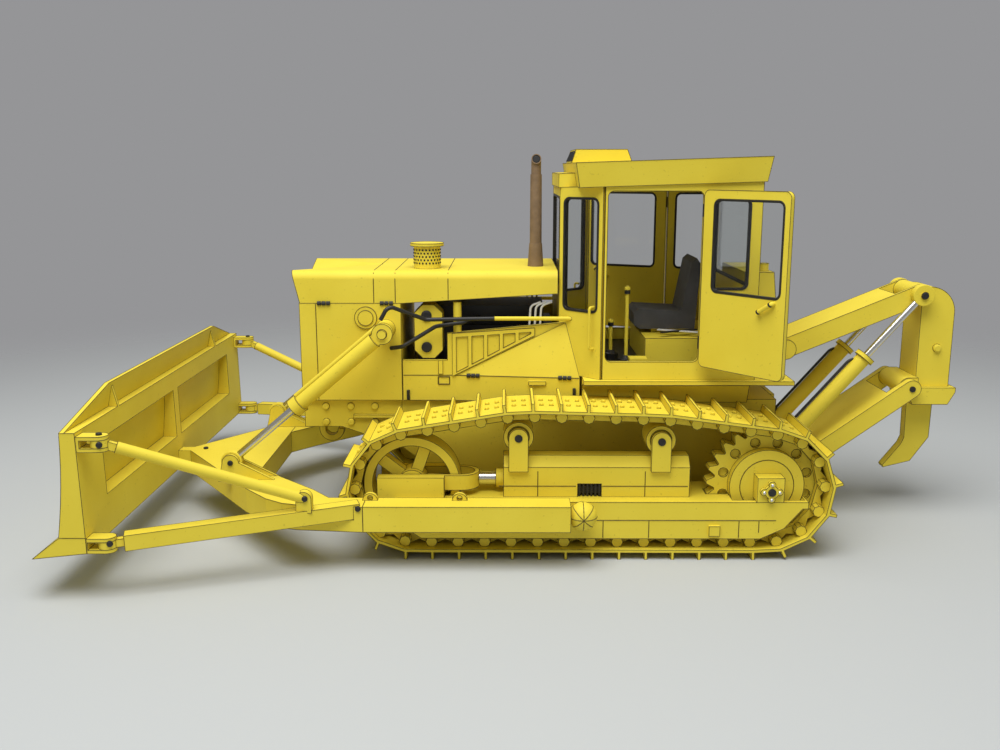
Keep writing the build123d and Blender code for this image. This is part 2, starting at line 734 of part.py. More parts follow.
def idler_yoke():
    """The fork that carries the idler: two bearing blocks on the frame and a round strap."""
    inside = yoke_inside()
    outside = inside + YOKE_WALL
    z0, z1 = YOKE_LOW, YOKE_TOP
    bend = yoke_bend()
    strap = block(YOKE_BLOCK_REAR, bend, TRACK_Y - outside, TRACK_Y + outside, z0, z1)
    strap += Pos(bend, TRACK_Y, (z0 + z1) / 2) * Cylinder(outside, z1 - z0)
    strap -= block(YOKE_FRONT, bend, TRACK_Y - inside, TRACK_Y + inside, z0, z1)
    strap -= Pos(bend, TRACK_Y, (z0 + z1) / 2) * Cylinder(inside, z1 - z0)
    reach = inside + YOKE_BLOCK_WIDTH
    for low, high in ((-reach, -inside), (inside, reach)):
        strap += block(YOKE_FRONT, YOKE_BLOCK_REAR, TRACK_Y + low, TRACK_Y + high, FRAME_TOP, z1)
    return strap


def recoil_rod():
    """The bright rod between the yoke and the recoil housing's collar."""
    z = (YOKE_LOW + YOKE_TOP) / 2
    start = yoke_bend() + yoke_inside() + YOKE_WALL
    end = RECOIL_FRONT - RECOIL_COLLAR_LENGTH
    return round_bar((start, TRACK_Y, z), (end, TRACK_Y, z), RECOIL_ROD_DIAMETER)


def recoil_housing():
    """The faceted spring housing on the frame, with its collar and the brackets of the upper rollers."""
    half = RECOIL_WIDTH / 2
    y0, y1 = TRACK_Y - half, TRACK_Y + half
    top, cut = RECOIL_TOP, RECOIL_CHAMFER
    section = [
        (y0, RECOIL_LOW), (y1, RECOIL_LOW), (y1, top - cut),
        (y1 - cut, top), (y0 + cut, top), (y0, top - cut),
    ]
    housing = end_slab(section, RECOIL_FRONT, RECOIL_REAR)
    z = (YOKE_LOW + YOKE_TOP) / 2
    collar_front = RECOIL_FRONT - RECOIL_COLLAR_LENGTH
    housing += round_bar((collar_front, TRACK_Y, z), (RECOIL_FRONT, TRACK_Y, z), RECOIL_COLLAR_DIAMETER)
    notch_top = RECOIL_LOW + SPRING_NOTCH_HEIGHT
    notch_y = y1 - SPRING_NOTCH_DEPTH
    housing -= block(SPRING_NOTCH_FRONT, SPRING_NOTCH_REAR, notch_y, y1, RECOIL_LOW, notch_top)
    post_in = TRACK_Y + CARRIER_WIDTH / 2 + RUN_GAP
    post_out = post_in + CARRIER_POST_WIDTH
    post_half = CARRIER_POST_LENGTH / 2
    for x, z in (CARRIER_FRONT, CARRIER_REAR):
        housing += block(x - post_half, x + post_half, post_in, post_out, top - cut - CARRIER_POST_FOOT, z)
        housing += disc((x, z), post_half, post_in, post_out)
        housing += disc((x, z), AXLE_BOLT_RADIUS, TRACK_Y + CARRIER_WIDTH / 2 - CARRIER_DISH, post_out)
    return housing


def recoil_spring():
    """The dark spring that shows in the notch, as a row of rings."""
    step = (SPRING_NOTCH_REAR - SPRING_NOTCH_FRONT) / SPRING_COILS
    z = RECOIL_LOW + SPRING_NOTCH_HEIGHT / 2
    y = TRACK_Y + RECOIL_WIDTH / 2 - SPRING_NOTCH_DEPTH / 2
    core_y, core_z = SPRING_CORE[0] / 2, SPRING_CORE[1] / 2
    coil_y, coil_z = SPRING_COIL[0] / 2, SPRING_COIL[1] / 2
    spring = block(SPRING_NOTCH_FRONT, SPRING_NOTCH_REAR, y - core_y, y + core_y, z - core_z, z + core_z)
    for k in range(SPRING_COILS):
        x = SPRING_NOTCH_FRONT + step * (k + 0.5)
        spring += block(x - step / 4, x + step / 4, y - coil_y, y + coil_y, z - coil_z, z + coil_z)
    return spring


def sprocket():
    """Drive wheel: teeth between the links, a ring of shallow ovals and the raised drive cover."""
    centre = (0.0, AXLE_Z)
    root = TOOTH_RADIUS - SPROCKET_TOOTH_DEPTH
    outline = []
    for k in range(SPROCKET_TEETH):
        for share, radius in SPROCKET_TOOTH:
            angle = 2 * pi * (k + share) / SPROCKET_TEETH
            reach = root + radius
            outline.append((centre[0] + reach * cos(angle), centre[1] + reach * sin(angle)))
    half = SPROCKET_WIDTH / 2
    face = TRACK_Y + half
    wheel = side_slab(outline, TRACK_Y - half, face)
    middle = (SPROCKET_OVAL_INNER + SPROCKET_OVAL_OUTER) / 2
    long_half = (SPROCKET_OVAL_OUTER - SPROCKET_OVAL_INNER) / 2
    wide_half = SPROCKET_OVAL_WIDTH / 2
    for k in range(SPROCKET_OVALS):
        angle = 2 * pi * (k + 0.5) / SPROCKET_OVALS
        oval = []
        for turn in [2 * pi * step / SPROCKET_OVAL_SIDES for step in range(SPROCKET_OVAL_SIDES)]:
            r, t = middle + long_half * cos(turn), wide_half * sin(turn)
            x, z = r * cos(angle) - t * sin(angle), r * sin(angle) + t * cos(angle)
            oval.append((centre[0] + x, centre[1] + z))
        wheel -= side_slab(oval, face - SPROCKET_OVAL_DEPTH, face)
    return wheel + disc(centre, SPROCKET_COVER_RADIUS, face, face + FINAL_DRIVE_REACH)


def final_drive():
    """The drive housing between hull and sprocket."""
    return disc((0.0, AXLE_Z), FINAL_DRIVE_RADIUS, HULL_HALF_WIDTH, TRACK_Y - SPROCKET_WIDTH / 2)


def axle_bearing():
    """The square bearing block on the frame that takes the sprocket's outer end, with its lobed cap."""
    inner = TRACK_Y + SPROCKET_WIDTH / 2 + FINAL_DRIVE_REACH
    bearing = block(-BEARING_HALF, BEARING_HALF, inner, FRAME_OUTER, FRAME_TOP, AXLE_Z + BEARING_HALF)
    centre = (0.0, AXLE_Z)
    face = FRAME_OUTER + BEARING_CAP_THICKNESS
    cap = disc(centre, BEARING_CAP_RADIUS, FRAME_OUTER, face)
    for lobe in ring_points(centre, BEARING_LOBE_PITCH, BEARING_LOBES):
        cap += disc(lobe, BEARING_LOBE_RADIUS, FRAME_OUTER, face)
    return bearing + cap


def hull():
    """The closed body between the tracks that carries engine, cab and ripper, with the drive housings."""
    outline = [
        (FRONT_FRAME_REAR, HULL_TOP),
        (FRONT_FRAME_REAR, HULL_NOSE_LOW),
        (FRONT_FRAME_REAR + HULL_NOSE_RUN, HULL_FLOOR),
        (HULL_TAIL_FOOT, HULL_FLOOR),
        (HULL_REAR, HULL_TAIL_LOW),
        (HULL_REAR, HULL_TOP),
    ]
    body = side_slab(outline, -HULL_HALF_WIDTH, HULL_HALF_WIDTH)
    return body.fuse(final_drive(), other_side(final_drive()))


def front_frame():
    """The frame under the radiator, with a ledge along each side and the tow hook below."""
    side = [
        (FRONT_FRAME_FRONT, HULL_TOP),
        (FRONT_FRAME_FRONT, FRONT_FRAME_LOW),
        (FRONT_FRAME_FRONT + FRONT_FRAME_STEP, FRONT_FRAME_LOW),
        (FRONT_FRAME_REAR, HULL_NOSE_LOW),
        (FRONT_FRAME_REAR, HULL_TOP),
    ]
    frame = side_slab(side, -HULL_HALF_WIDTH, HULL_HALF_WIDTH)
    ledge_front = FRONT_FRAME_FRONT + LEDGE_SETBACK
    half = HULL_HALF_WIDTH + LEDGE_WIDTH
    frame += block(ledge_front, FRONT_FRAME_REAR, -half, half, LEDGE_LOW, LEDGE_LOW + LEDGE_THICKNESS)
    return frame + tow_hook()


def tow_hook():
    """A flat hook under the front frame, open towards the rear."""
    half = TOW_HOOK_WIDTH / 2
    centre = (TOW_HOOK_X, FRONT_FRAME_LOW - TOW_HOOK_DROP)
    inner = TOW_HOOK_RADIUS - TOW_HOOK_THICKNESS
    hook = disc(centre, TOW_HOOK_RADIUS, -half, half) - disc(centre, inner, -half, half)
    hook -= block(centre[0], centre[0] + TOW_HOOK_RADIUS, -half, half, centre[1], FRONT_FRAME_LOW)
    shank_front = centre[0] - TOW_HOOK_RADIUS
    shank_rear = shank_front + TOW_HOOK_THICKNESS
    return hook + block(shank_front, shank_rear, -half, half, centre[1], FRONT_FRAME_LOW)


def radiator():
    """The radiator housing: side walls, a slatted front, the round caps and the lift cylinders' bosses."""
    outer = BONNET_HALF_WIDTH
    top = BONNET_LOW_FRONT
    body = block(RADIATOR_FRONT, RADIATOR_REAR, -outer, outer, HULL_TOP, top)
    half = outer - GRILLE_BORDER
    low, high = HULL_TOP + GRILLE_BORDER, top - GRILLE_TOP_BORDER
    back = RADIATOR_FRONT + GRILLE_DEPTH
    body -= block(RADIATOR_FRONT, back, -half, half, low, high)
    pitch = (high - low) / GRILLE_SLATS
    for k in range(GRILLE_SLATS):
        z = low + pitch * (k + 0.5)
        slat = GRILLE_SLAT_HEIGHT / 2
        body += block(RADIATOR_FRONT + GRILLE_INSET, back, -half, half, z - slat, z + slat)
    boss_radius = LIFT_BARREL_DIAMETER / 2 + LIFT_BOSS_RIM
    for side in (-1, 1):
        fittings = (
            (FILLER_CAP, FILLER_CAP_RADIUS, outer + FILLER_CAP_HEIGHT),
            (FILLER_CAP, FILLER_LID_RADIUS, outer + FILLER_LID_HEIGHT),
            (LIFT_UPPER, boss_radius, LIFT_Y - LIFT_EYE_WIDTH / 2 - PIVOT_GAP),
            (LIFT_UPPER, LIFT_TRUNNION_RADIUS, LIFT_Y + LIFT_EYE_WIDTH / 2 + LIFT_TRUNNION_END),
        )
        for centre, radius, face in fittings:
            y0, y1 = sorted((side * outer, side * face))
            body += disc(centre, radius, y0, y1)
    return body


def bonnet():
    """The engine cover: a top and two side bands, its front dished towards a central valley."""
    half, wall = BONNET_HALF_WIDTH, BONNET_WALL
    side = [
        (BONNET_FRONT, BONNET_TOP),
        (BONNET_FRONT + BONNET_LEAN, BONNET_LOW_FRONT),
        (RADIATOR_REAR, BONNET_LOW_FRONT),
        (BONNET_REAR, BONNET_LOW_REAR),
        (BONNET_REAR, BONNET_TOP),
    ]
    cover = side_slab(side, -half, half)
    cover = fillet(cover.edges().filter_by(Axis.X).group_by(Axis.Z)[-1], BONNET_CORNER)
    inside = half - wall
    cover -= block(RADIATOR_REAR, BONNET_REAR, -inside, inside, BONNET_LOW_FRONT, BONNET_TOP - wall)
    edge = half - BONNET_CORNER
    dish = [
        (BONNET_FRONT, -edge, BONNET_TOP),
        (BONNET_FRONT, edge, BONNET_TOP),
        (BONNET_FRONT, 0.0, BONNET_TOP - BONNET_VALLEY_DEPTH),
        (BONNET_VALLEY_REAR, 0.0, BONNET_TOP),
    ]
    return cover - faceted(dish, ((0, 1, 2), (0, 1, 3), (0, 2, 3), (1, 2, 3)))


def engine():
    """The engine as one plain block with its rocker cover."""
    seam = ENGINE_TOP - ROCKER_HEIGHT
    half = ENGINE_HALF_WIDTH
    cover_half = half - ROCKER_INSET
    cover_front, cover_rear = ENGINE_FRONT + ROCKER_INSET, ENGINE_REAR - ROCKER_INSET
    body = block(ENGINE_FRONT, ENGINE_REAR, -half, half, HULL_TOP, seam)
    return body + block(cover_front, cover_rear, -cover_half, cover_half, seam, ENGINE_TOP)


def valve_block():
    """The eight-sided block in the opening behind the radiator that the lift hoses lead to."""
    x0, x1 = VALVE_BLOCK_FRONT, VALVE_BLOCK_FRONT + VALVE_BLOCK_LENGTH
    z0, z1, c = VALVE_BLOCK_LOW, VALVE_BLOCK_TOP, VALVE_BLOCK_CORNER
    outline = [
        (x0 + c, z0), (x1 - c, z0), (x1, z0 + c), (x1, z1 - c),
        (x1 - c, z1), (x0 + c, z1), (x0, z1 - c), (x0, z0 + c),
    ]
    return side_slab(outline, ENGINE_HALF_WIDTH, VALVE_BLOCK_FACE)


def quarter_x(y):
    """Where the slanted quarter wall's outer face lies at a distance from the centre plane."""
    share = (y - CAB_FRONT_HALF) / (CAB_HALF_WIDTH - CAB_FRONT_HALF)
    return CAB_FRONT + share * (CAB_QUARTER_REAR - CAB_FRONT)


def panel_flare():
    """The wedge of the side panel that widens towards the cab, with a slanted facet above its seam."""
    outer = BONNET_HALF_WIDTH
    front = (FLARE_FRONT, outer)
    wall = (quarter_x(outer), outer)
    rear = (quarter_x(FLARE_REAR_Y), FLARE_REAR_Y)
    base = plan_slab([front, (rear[0], outer), rear], SIDE_PANEL_LOW, FLARE_SEAM)
    corners = [
        (*front, FLARE_SEAM),
        (*wall, FLARE_SEAM),
        (*rear, FLARE_SEAM),
        (quarter_x(FLARE_TOP_Y), FLARE_TOP_Y, SIDE_PANEL_REAR_TOP),
    ]
    return base + faceted(corners, ((0, 1, 2), (0, 1, 3), (1, 2, 3), (0, 2, 3)))


def vent_frame():
    """The three-cornered vent's raised frame: a border and upright bars along its slanted lower edge."""
    y0, y1 = BONNET_HALF_WIDTH, BONNET_HALF_WIDTH + VENT_RAISE
    border = [
        (VENT_FRONT - VENT_BAR, VENT_LOW - VENT_BAR),
        (VENT_REAR, VENT_TOP_REAR - VENT_BAR),
        (VENT_REAR, VENT_TOP_REAR + VENT_BAR),
        (VENT_FRONT - VENT_BAR, VENT_TOP_FRONT + VENT_BAR),
    ]
    frame = side_slab(border, y0, y1)
    pitch = (VENT_REAR - VENT_FRONT) / VENT_SLOTS
    for k in range(VENT_SLOTS):
        low, high = [], []
        for x in (VENT_FRONT + pitch * k, VENT_FRONT + pitch * (k + 1) - VENT_BAR):
            share = (x - VENT_FRONT) / (VENT_REAR - VENT_FRONT)
            low.append((x, VENT_LOW + share * (VENT_TOP_REAR - VENT_LOW)))
            high.append((x, VENT_TOP_FRONT + share * (VENT_TOP_REAR - VENT_TOP_FRONT)))
        frame -= side_slab(low + high[::-1], y0, y1)
    return frame


def side_panel():
    """The engine side panel with its vent and the flare in front of the cab."""
    outer = BONNET_HALF_WIDTH
    outline = [
        (RADIATOR_REAR + FIT_GAP, SIDE_PANEL_LOW),
        (RADIATOR_REAR + FIT_GAP, SIDE_PANEL_STEP),
        (SIDE_PANEL_STEP_X, SIDE_PANEL_STEP),
        (SIDE_PANEL_STEP_X, VENT_TOP_FRONT + VENT_BAR),
        (quarter_x(outer), SIDE_PANEL_REAR_TOP),
        (quarter_x(outer), FLARE_SEAM),
        (quarter_x(FLARE_REAR_Y), FLARE_SEAM),
        (quarter_x(FLARE_REAR_Y), SIDE_PANEL_LOW),
    ]
    panel = side_slab(outline, outer - SIDE_PANEL_WALL, outer)
    panel -= plan_slab(cab_outline(), CAB_SILL, CAB_TOP)
    return panel.fuse(panel_flare(), vent_frame())


def precleaner():
    """The air intake on the bonnet: a drum under a wider cap."""
    low = (Align.CENTER, Align.CENTER, Align.MIN)
    drum = Cylinder(PRECLEANER_DRUM_RADIUS, PRECLEANER_DRUM_HEIGHT, align=low)
    cap = Cylinder(PRECLEANER_CAP_RADIUS, PRECLEANER_CAP_HEIGHT, align=low)
    return Pos(PRECLEANER_X, PRECLEANER_Y, BONNET_TOP) * (drum + Pos(0, 0, PRECLEANER_DRUM_HEIGHT) * cap)


def exhaust():
    """The exhaust stack: a flared foot, a pipe and a mouth bent forwards."""
    foot = Pos(EXHAUST_X, EXHAUST_Y, BONNET_TOP)
    low = (Align.CENTER, Align.CENTER, Align.MIN)
    stack = foot * Cone(EXHAUST_BASE_RADIUS, EXHAUST_RADIUS, EXHAUST_FLARE, align=low)
    pipe_foot = (EXHAUST_X, EXHAUST_Y, BONNET_TOP + EXHAUST_FLARE)
    bend = (EXHAUST_X, EXHAUST_Y, EXHAUST_TOP - EXHAUST_BEND_DROP)
    mouth = (EXHAUST_X - EXHAUST_MOUTH_LEAN, EXHAUST_Y, EXHAUST_TOP + EXHAUST_MOUTH_RISE)
    beyond = Vector(*mouth) * 2 - Vector(*bend)
    stack += round_bar(pipe_foot, bend, 2 * EXHAUST_RADIUS)
    stack += Pos(*bend) * Sphere(EXHAUST_RADIUS)
    stack += round_bar(bend, mouth, 2 * EXHAUST_RADIUS)
    return stack - round_bar(bend, tuple(beyond), 2 * (EXHAUST_RADIUS - EXHAUST_WALL))


def cab_outline(inset=0.0, rear_inset=None):
    """Plan of the cab: a narrow front, slanted quarters and straight sides."""
    rear = CAB_REAR - (inset if rear_inset is None else rear_inset)
    slant = inset * CAB_SLANT
    return [
        (CAB_FRONT + inset, -CAB_FRONT_HALF + slant),
        (CAB_FRONT + inset, CAB_FRONT_HALF - slant),
        (CAB_QUARTER_REAR + slant, CAB_HALF_WIDTH - inset),
        (rear, CAB_HALF_WIDTH - inset),
        (rear, -CAB_HALF_WIDTH + inset),
        (CAB_QUARTER_REAR + slant, -CAB_HALF_WIDTH + inset),
    ]


def fender():
    """The body under the cab: a lip at the sill and sides that slope in towards the hull."""
    lip_low = CAB_SILL - FENDER_LIP_THICKNESS
    right = [(FENDER_LOW_HALF, HULL_TOP), FENDER_KNEE, (CAB_HALF_WIDTH, lip_low)]
    left = [(-y, z) for y, z in reversed(right)]
    front = SIDE_PANEL_REAR + FIT_GAP
    body = end_slab(right + left, front, CAB_REAR)
    half = CAB_HALF_WIDTH + FENDER_LIP
    return body + block(front, FENDER_TAIL, -half, half, lip_low, CAB_SILL)


def cab_floor():
    """The floor plate inside the cab walls."""
    return plan_slab(cab_outline(CAB_WALL), CAB_SILL, CAB_FLOOR)


def rounded_window(width, height, thickness):
    """A window's volume, upright in XZ about the origin."""
    outline = Plane.XZ * RectangleRounded(width, height, WINDOW_CORNER)
    return extrude(outline, amount=thickness / 2, both=True)


def quarter_place():
    """Centre, direction and length of the slanted quarter wall on the machine's right."""
    x0, y0, x1, y1 = CAB_FRONT, CAB_FRONT_HALF, CAB_QUARTER_REAR, CAB_HALF_WIDTH
    length = hypot(x1 - x0, y1 - y0)
    return ((x0 + x1) / 2, (y0 + y1) / 2), degrees(atan2(y1 - y0, x1 - x0)), length


def front_windows(inset, thickness):
    """The front window and the two quarter windows, as volumes."""
    width = 2 * CAB_FRONT_HALF - WINDOW_MARGIN - 2 * inset
    height = WINDOW_TOP - WINDOW_LOW - 2 * inset
    middle = (WINDOW_TOP + WINDOW_LOW) / 2
    seat = CAB_WALL / 2
    volumes = [Pos(CAB_FRONT + seat, 0, middle) * Rot(0, 0, 90) * rounded_window(width, height, thickness)]
    (x, y), angle, length = quarter_place()
    quarter_height = WINDOW_TOP - QUARTER_WINDOW_LOW - 2 * inset
    quarter_middle = (WINDOW_TOP + QUARTER_WINDOW_LOW) / 2
    pane = rounded_window(length - WINDOW_MARGIN - 2 * inset, quarter_height, thickness)
    shift = seat / sqrt(2)
    place = Pos(x + shift, y - shift, quarter_middle) * Rot(0, 0, angle)
    quarter = place * pane
    return volumes + [quarter, other_side(quarter)]


def roof_low(x):
    """Height of the roof's underside, which rises towards the rear."""
    return CAB_TOP + ROOF_RISE * (x - ROOF_FRONT) / (ROOF_REAR - ROOF_FRONT)


def under_roof(wall):
    """A wall of the cab cut along the roof's underside."""
    x0, x1, top = VISOR_FRONT, FENDER_TAIL, CAB_TOP + ROOF_THICKNESS
    above = [(x0, roof_low(x0)), (x1, roof_low(x1)), (x1, top), (x0, top)]
    return wall - side_slab(above, -ROOF_HALF_WIDTH, ROOF_HALF_WIDTH)


def cab_front():
    """Front wall and slanted quarter walls with their windows cut."""
    outline = cab_outline()
    inner = cab_outline(CAB_WALL)
    shell = [outline[2], outline[1], outline[0], outline[5], inner[5], inner[0], inner[1], inner[2]]
    wall = under_roof(plan_slab(shell, CAB_SILL, CAB_TOP + ROOF_RISE))
    for window in front_windows(0.0, WINDOW_CUT):
        wall -= window
    return wall


def side_window_span():
    """Front and rear edges of the window behind the door."""
    return DOOR_REAR + SIDE_WINDOW_FRONT, CAB_REAR - WINDOW_MARGIN


def cab_side():
    """Side wall: sill, header and the windowed panel behind the door."""
    inner = CAB_HALF_WIDTH - CAB_WALL
    front = CAB_QUARTER_REAR + CAB_WALL * CAB_SLANT + CAB_SEAM
    wall = under_roof(block(front, CAB_REAR, inner, CAB_HALF_WIDTH, CAB_SILL, CAB_TOP + ROOF_RISE))
    opening = block(DOOR_FRONT, DOOR_REAR, inner, CAB_HALF_WIDTH, DOOR_LOW, DOOR_TOP)
    opening = fillet(opening.edges().filter_by(Axis.Y), DOOR_CORNER)
    x0, x1 = side_window_span()
    place = Pos((x0 + x1) / 2, CAB_HALF_WIDTH - CAB_WALL / 2, (WINDOW_LOW + WINDOW_TOP) / 2)
    window = place * rounded_window(x1 - x0, WINDOW_TOP - WINDOW_LOW, 2 * CAB_WALL)
    return wall - opening - window


def cab_rear():
    """Rear wall between the side walls, with a wide window."""
    half = CAB_HALF_WIDTH - CAB_WALL
    wall = under_roof(block(CAB_REAR - CAB_WALL, CAB_REAR, -half, half, CAB_SILL, CAB_TOP + ROOF_RISE))
    place = Pos(CAB_REAR - CAB_WALL / 2, 0, (WINDOW_LOW + WINDOW_TOP) / 2) * Rot(0, 0, 90)
    window = place * rounded_window(2 * (half - REAR_WINDOW_MARGIN), WINDOW_TOP - WINDOW_LOW, 2 * CAB_WALL)
    return wall - window


def cab_glass():
    """Panes of the fixed windows."""
    panes = front_windows(GLASS_SEAT, GLASS_THICKNESS)
    x0, x1 = side_window_span()
    height = WINDOW_TOP - WINDOW_LOW - 2 * GLASS_SEAT
    middle = (WINDOW_LOW + WINDOW_TOP) / 2
    side = rounded_window(x1 - x0 - 2 * GLASS_SEAT, height, GLASS_THICKNESS)
    side = Pos((x0 + x1) / 2, CAB_HALF_WIDTH - CAB_WALL / 2, middle) * side
    half = CAB_HALF_WIDTH - CAB_WALL
    rear = rounded_window(2 * (half - REAR_WINDOW_MARGIN - GLASS_SEAT), height, GLASS_THICKNESS)
    rear = Pos(CAB_REAR - CAB_WALL / 2, 0, middle) * Rot(0, 0, 90) * rear
    return Compound(children=panes + [side, other_side(side), rear])


def cab_roof():
    """Roof cap that rises to the rear, its fascias leaning outwards, and the low front visor."""
    faces = []
    for lean, rise in ((0.0, 0.0), (ROOF_LEAN, ROOF_THICKNESS)):
        x0, x1, half = ROOF_FRONT - lean, ROOF_REAR + lean, ROOF_HALF_WIDTH + lean
        corners = [(x0, -half), (x1, -half), (x1, half), (x0, half)]
        faces.append(Face(Wire.make_polygon([(x, y, roof_low(x) + rise) for x, y in corners])))
    x0, x1 = VISOR_FRONT, ROOF_FRONT + ROOF_LEAN
    visor = [
        (x0, roof_low(x0)), (x1, roof_low(x1)),
        (x1, roof_low(x1) + VISOR_HEIGHT), (x0, roof_low(x0) + VISOR_HEIGHT),
    ]
    return loft(faces) + side_slab(visor, -VISOR_HALF, VISOR_HALF)


def roof_box():
    """The flat ventilator box on the roof's front."""
    x0, x1 = ROOF_BOX_FRONT, ROOF_BOX_REAR
    low0, low1 = roof_low(x0) + ROOF_THICKNESS, roof_low(x1) + ROOF_THICKNESS
    top = low0 + ROOF_BOX_HEIGHT
    side = [(x0, low0), (x1, low1), (x1 - ROOF_BOX_LEAN, top), (x0 + ROOF_BOX_LEAN, top)]
    return side_slab(side, -ROOF_BOX_HALF, ROOF_BOX_HALF)


def door_axis():
    """Plan place of the right door's hinge axis, at the outer face of its rear edge."""
    return DOOR_REAR + HINGE_SETBACK, CAB_HALF_WIDTH + DOOR_GAP + DOOR_THICKNESS


def door_window_place():
    """Centre and size of the door's window."""
    x0, x1 = DOOR_FRONT - DOOR_LAP_FRONT + DOOR_WINDOW_FRONT, DOOR_REAR - DOOR_WINDOW_REAR
    return (x0 + x1) / 2, x1 - x0, WINDOW_TOP - WINDOW_LOW


def door():
    """The right door, shut: a flat leaf over the opening with a window, a handle and hinge knuckles."""
    y0 = CAB_HALF_WIDTH + DOOR_GAP
    y1 = y0 + DOOR_THICKNESS
    front = DOOR_FRONT - DOOR_LAP_FRONT
    leaf = block(front, DOOR_REAR, y0, y1, DOOR_LOW - DOOR_LAP_LOW, DOOR_TOP + DOOR_LAP_TOP)
    leaf = fillet(leaf.edges().filter_by(Axis.Y), DOOR_CORNER)
    x, width, height = door_window_place()
    middle = (WINDOW_LOW + WINDOW_TOP) / 2
    leaf -= Pos(x, (y0 + y1) / 2, middle) * rounded_window(width, height, 3 * DOOR_THICKNESS)
    x0, z0 = front + HANDLE_INSET, HANDLE_LOW
    leaf += block(x0, x0 + HANDLE_LENGTH, y1, y1 + HANDLE_THICKNESS, z0, z0 + HANDLE_THICKNESS)
    for z in HINGE_HEIGHTS:
        leaf += Pos(*door_axis(), z) * Cylinder(HINGE_RADIUS, HINGE_LENGTH)
    return leaf


def door_glass():
    """The right door's pane."""
    x, width, height = door_window_place()
    y = CAB_HALF_WIDTH + DOOR_GAP + DOOR_THICKNESS / 2
    pane = rounded_window(width - 2 * GLASS_SEAT, height - 2 * GLASS_SEAT, GLASS_THICKNESS)
    return Pos(x, y, (WINDOW_LOW + WINDOW_TOP) / 2) * pane


def opened(shape, angle):
    """A piece of the right door, swung open about its hinges."""
    x, y = door_axis()
    return Pos(x, y, 0) * Rot(0, 0, -angle) * Pos(-x, -y, 0) * shape


def seat():
    """Cushion and back of the driver's seat."""
    back_low = SEAT_REAR - SEAT_BACK_FOOT
    back_front = SEAT_REAR - SEAT_BACK_THICKNESS
    profile = [
        (SEAT_FRONT, SEAT_LOW + SEAT_ROUND),
        (SEAT_FRONT + SEAT_NOSE, SEAT_LOW),
        (SEAT_REAR - SEAT_ROUND, SEAT_LOW),
        (SEAT_REAR, SEAT_BACK_TOP - SEAT_NOSE),
        (SEAT_REAR - SEAT_ROUND, SEAT_BACK_TOP),
        (back_front + SEAT_ROUND, SEAT_BACK_TOP - SEAT_ROUND),
        (back_low, SEAT_CUSHION_TOP - SEAT_ROUND / 2),
        (SEAT_FRONT + SEAT_ROUND, SEAT_CUSHION_TOP),
        (SEAT_FRONT, SEAT_CUSHION_TOP - SEAT_ROUND),
    ]
    return side_slab(profile, -SEAT_HALF, SEAT_HALF)


def seat_box():
    """The boxes under the seat."""
    x0, x1 = SEAT_FRONT + SEAT_BOX_SETBACK, SEAT_REAR + SEAT_BOX_TAIL
    box = block(x0, x1, -SEAT_BOX_HALF, SEAT_BOX_HALF, CAB_FLOOR, SEAT_BOX_TOP)
    x0, x1 = SEAT_FRONT + SEAT_RISER_FRONT, SEAT_REAR - SEAT_RISER_REAR
    return box + block(x0, x1, -SEAT_RISER_HALF, SEAT_RISER_HALF, SEAT_BOX_TOP, SEAT_LOW)


def levers():
    """Two control levers and a pedal box on the floor."""
    step_x, step_y = LEVER_STEP
    long_one = (LEVER_X, LEVER_Y, LEVER_TOP)
    short_one = (LEVER_X + step_x, LEVER_Y + step_y, LEVER_TOP - LEVER_SHORT_BY)
    places = (long_one, short_one)
    pieces = []
    for x, y, top in places:
        lever = round_bar((x, y, CAB_FLOOR), (x, y, top), LEVER_DIAMETER)
        lever += Pos(x, y, CAB_FLOOR + BOOT_HEIGHT / 2) * Cylinder(BOOT_RADIUS, BOOT_HEIGHT)
        lever += Pos(x, y, top) * Sphere(LEVER_KNOB_RADIUS)
        pieces.append(lever)
    pieces.append(block(LEVER_X, LEVER_X + PEDAL_LENGTH, *PEDAL_Y, CAB_FLOOR, CAB_FLOOR + PEDAL_HEIGHT))
    return Compound(children=pieces)


def rear_tank():
    """The tank behind the cab, with the lugs and pin of the ripper's upper link."""
    side = [
        (CAB_REAR, TANK_LOW),
        (TANK_REAR_LOW, TANK_LOW),
        (TANK_REAR_TOP, TANK_TOP),
        (CAB_REAR, TANK_TOP),
    ]
    tank = side_slab(side, -TANK_HALF, TANK_HALF)
    low = (Align.CENTER, Align.CENTER, Align.MIN)
    tank += Pos(*TANK_CAP, TANK_TOP) * Cylinder(TANK_CAP_RADIUS, TANK_CAP_HEIGHT, align=low)
    x, z = RIPPER_UPPER
    radius = RIPPER_LINK_HEIGHT / 2
    inner = RIPPER_LINK_HALF + PIVOT_GAP
    outer = inner + CHEEK_THICKNESS
    for y0, y1 in ((-outer, -inner), (inner, outer)):
        tank += block(TANK_REAR_TOP, x, y0, y1, z - radius, z + radius)
        tank += disc(RIPPER_UPPER, radius, y0, y1)
    return tank + disc(RIPPER_UPPER, RIPPER_PIN_RADIUS, -outer, outer)


def push_arm():
    """The straight arm beside the track, its end hollowed for the trunnion ball."""
    arm = block(ARM_FRONT, ARM_REAR, ARM_INNER, ARM_OUTER, PUSH_LOW, PUSH_TOP)
    arm -= Pos(TRUNNION_X, TRUNNION_Y, TRUNNION_Z) * Sphere(TRUNNION_RADIUS + TRUNNION_GAP)
    y0 = ARM_INNER + ARM_EAR_INSET
    y1 = y0 + ARM_EAR_THICKNESS
    for x in ARM_EAR_X:
        ear = disc((x, PUSH_TOP), ARM_EAR_RADIUS, y0, y1)
        ear -= disc((x, PUSH_TOP + ARM_EAR_HOLE), ARM_EAR_HOLE, y0, y1)
        below = (x - ARM_EAR_RADIUS, x + ARM_EAR_RADIUS, y0, y1, PUSH_LOW, PUSH_TOP)
        arm += ear - block(*below)
    return arm


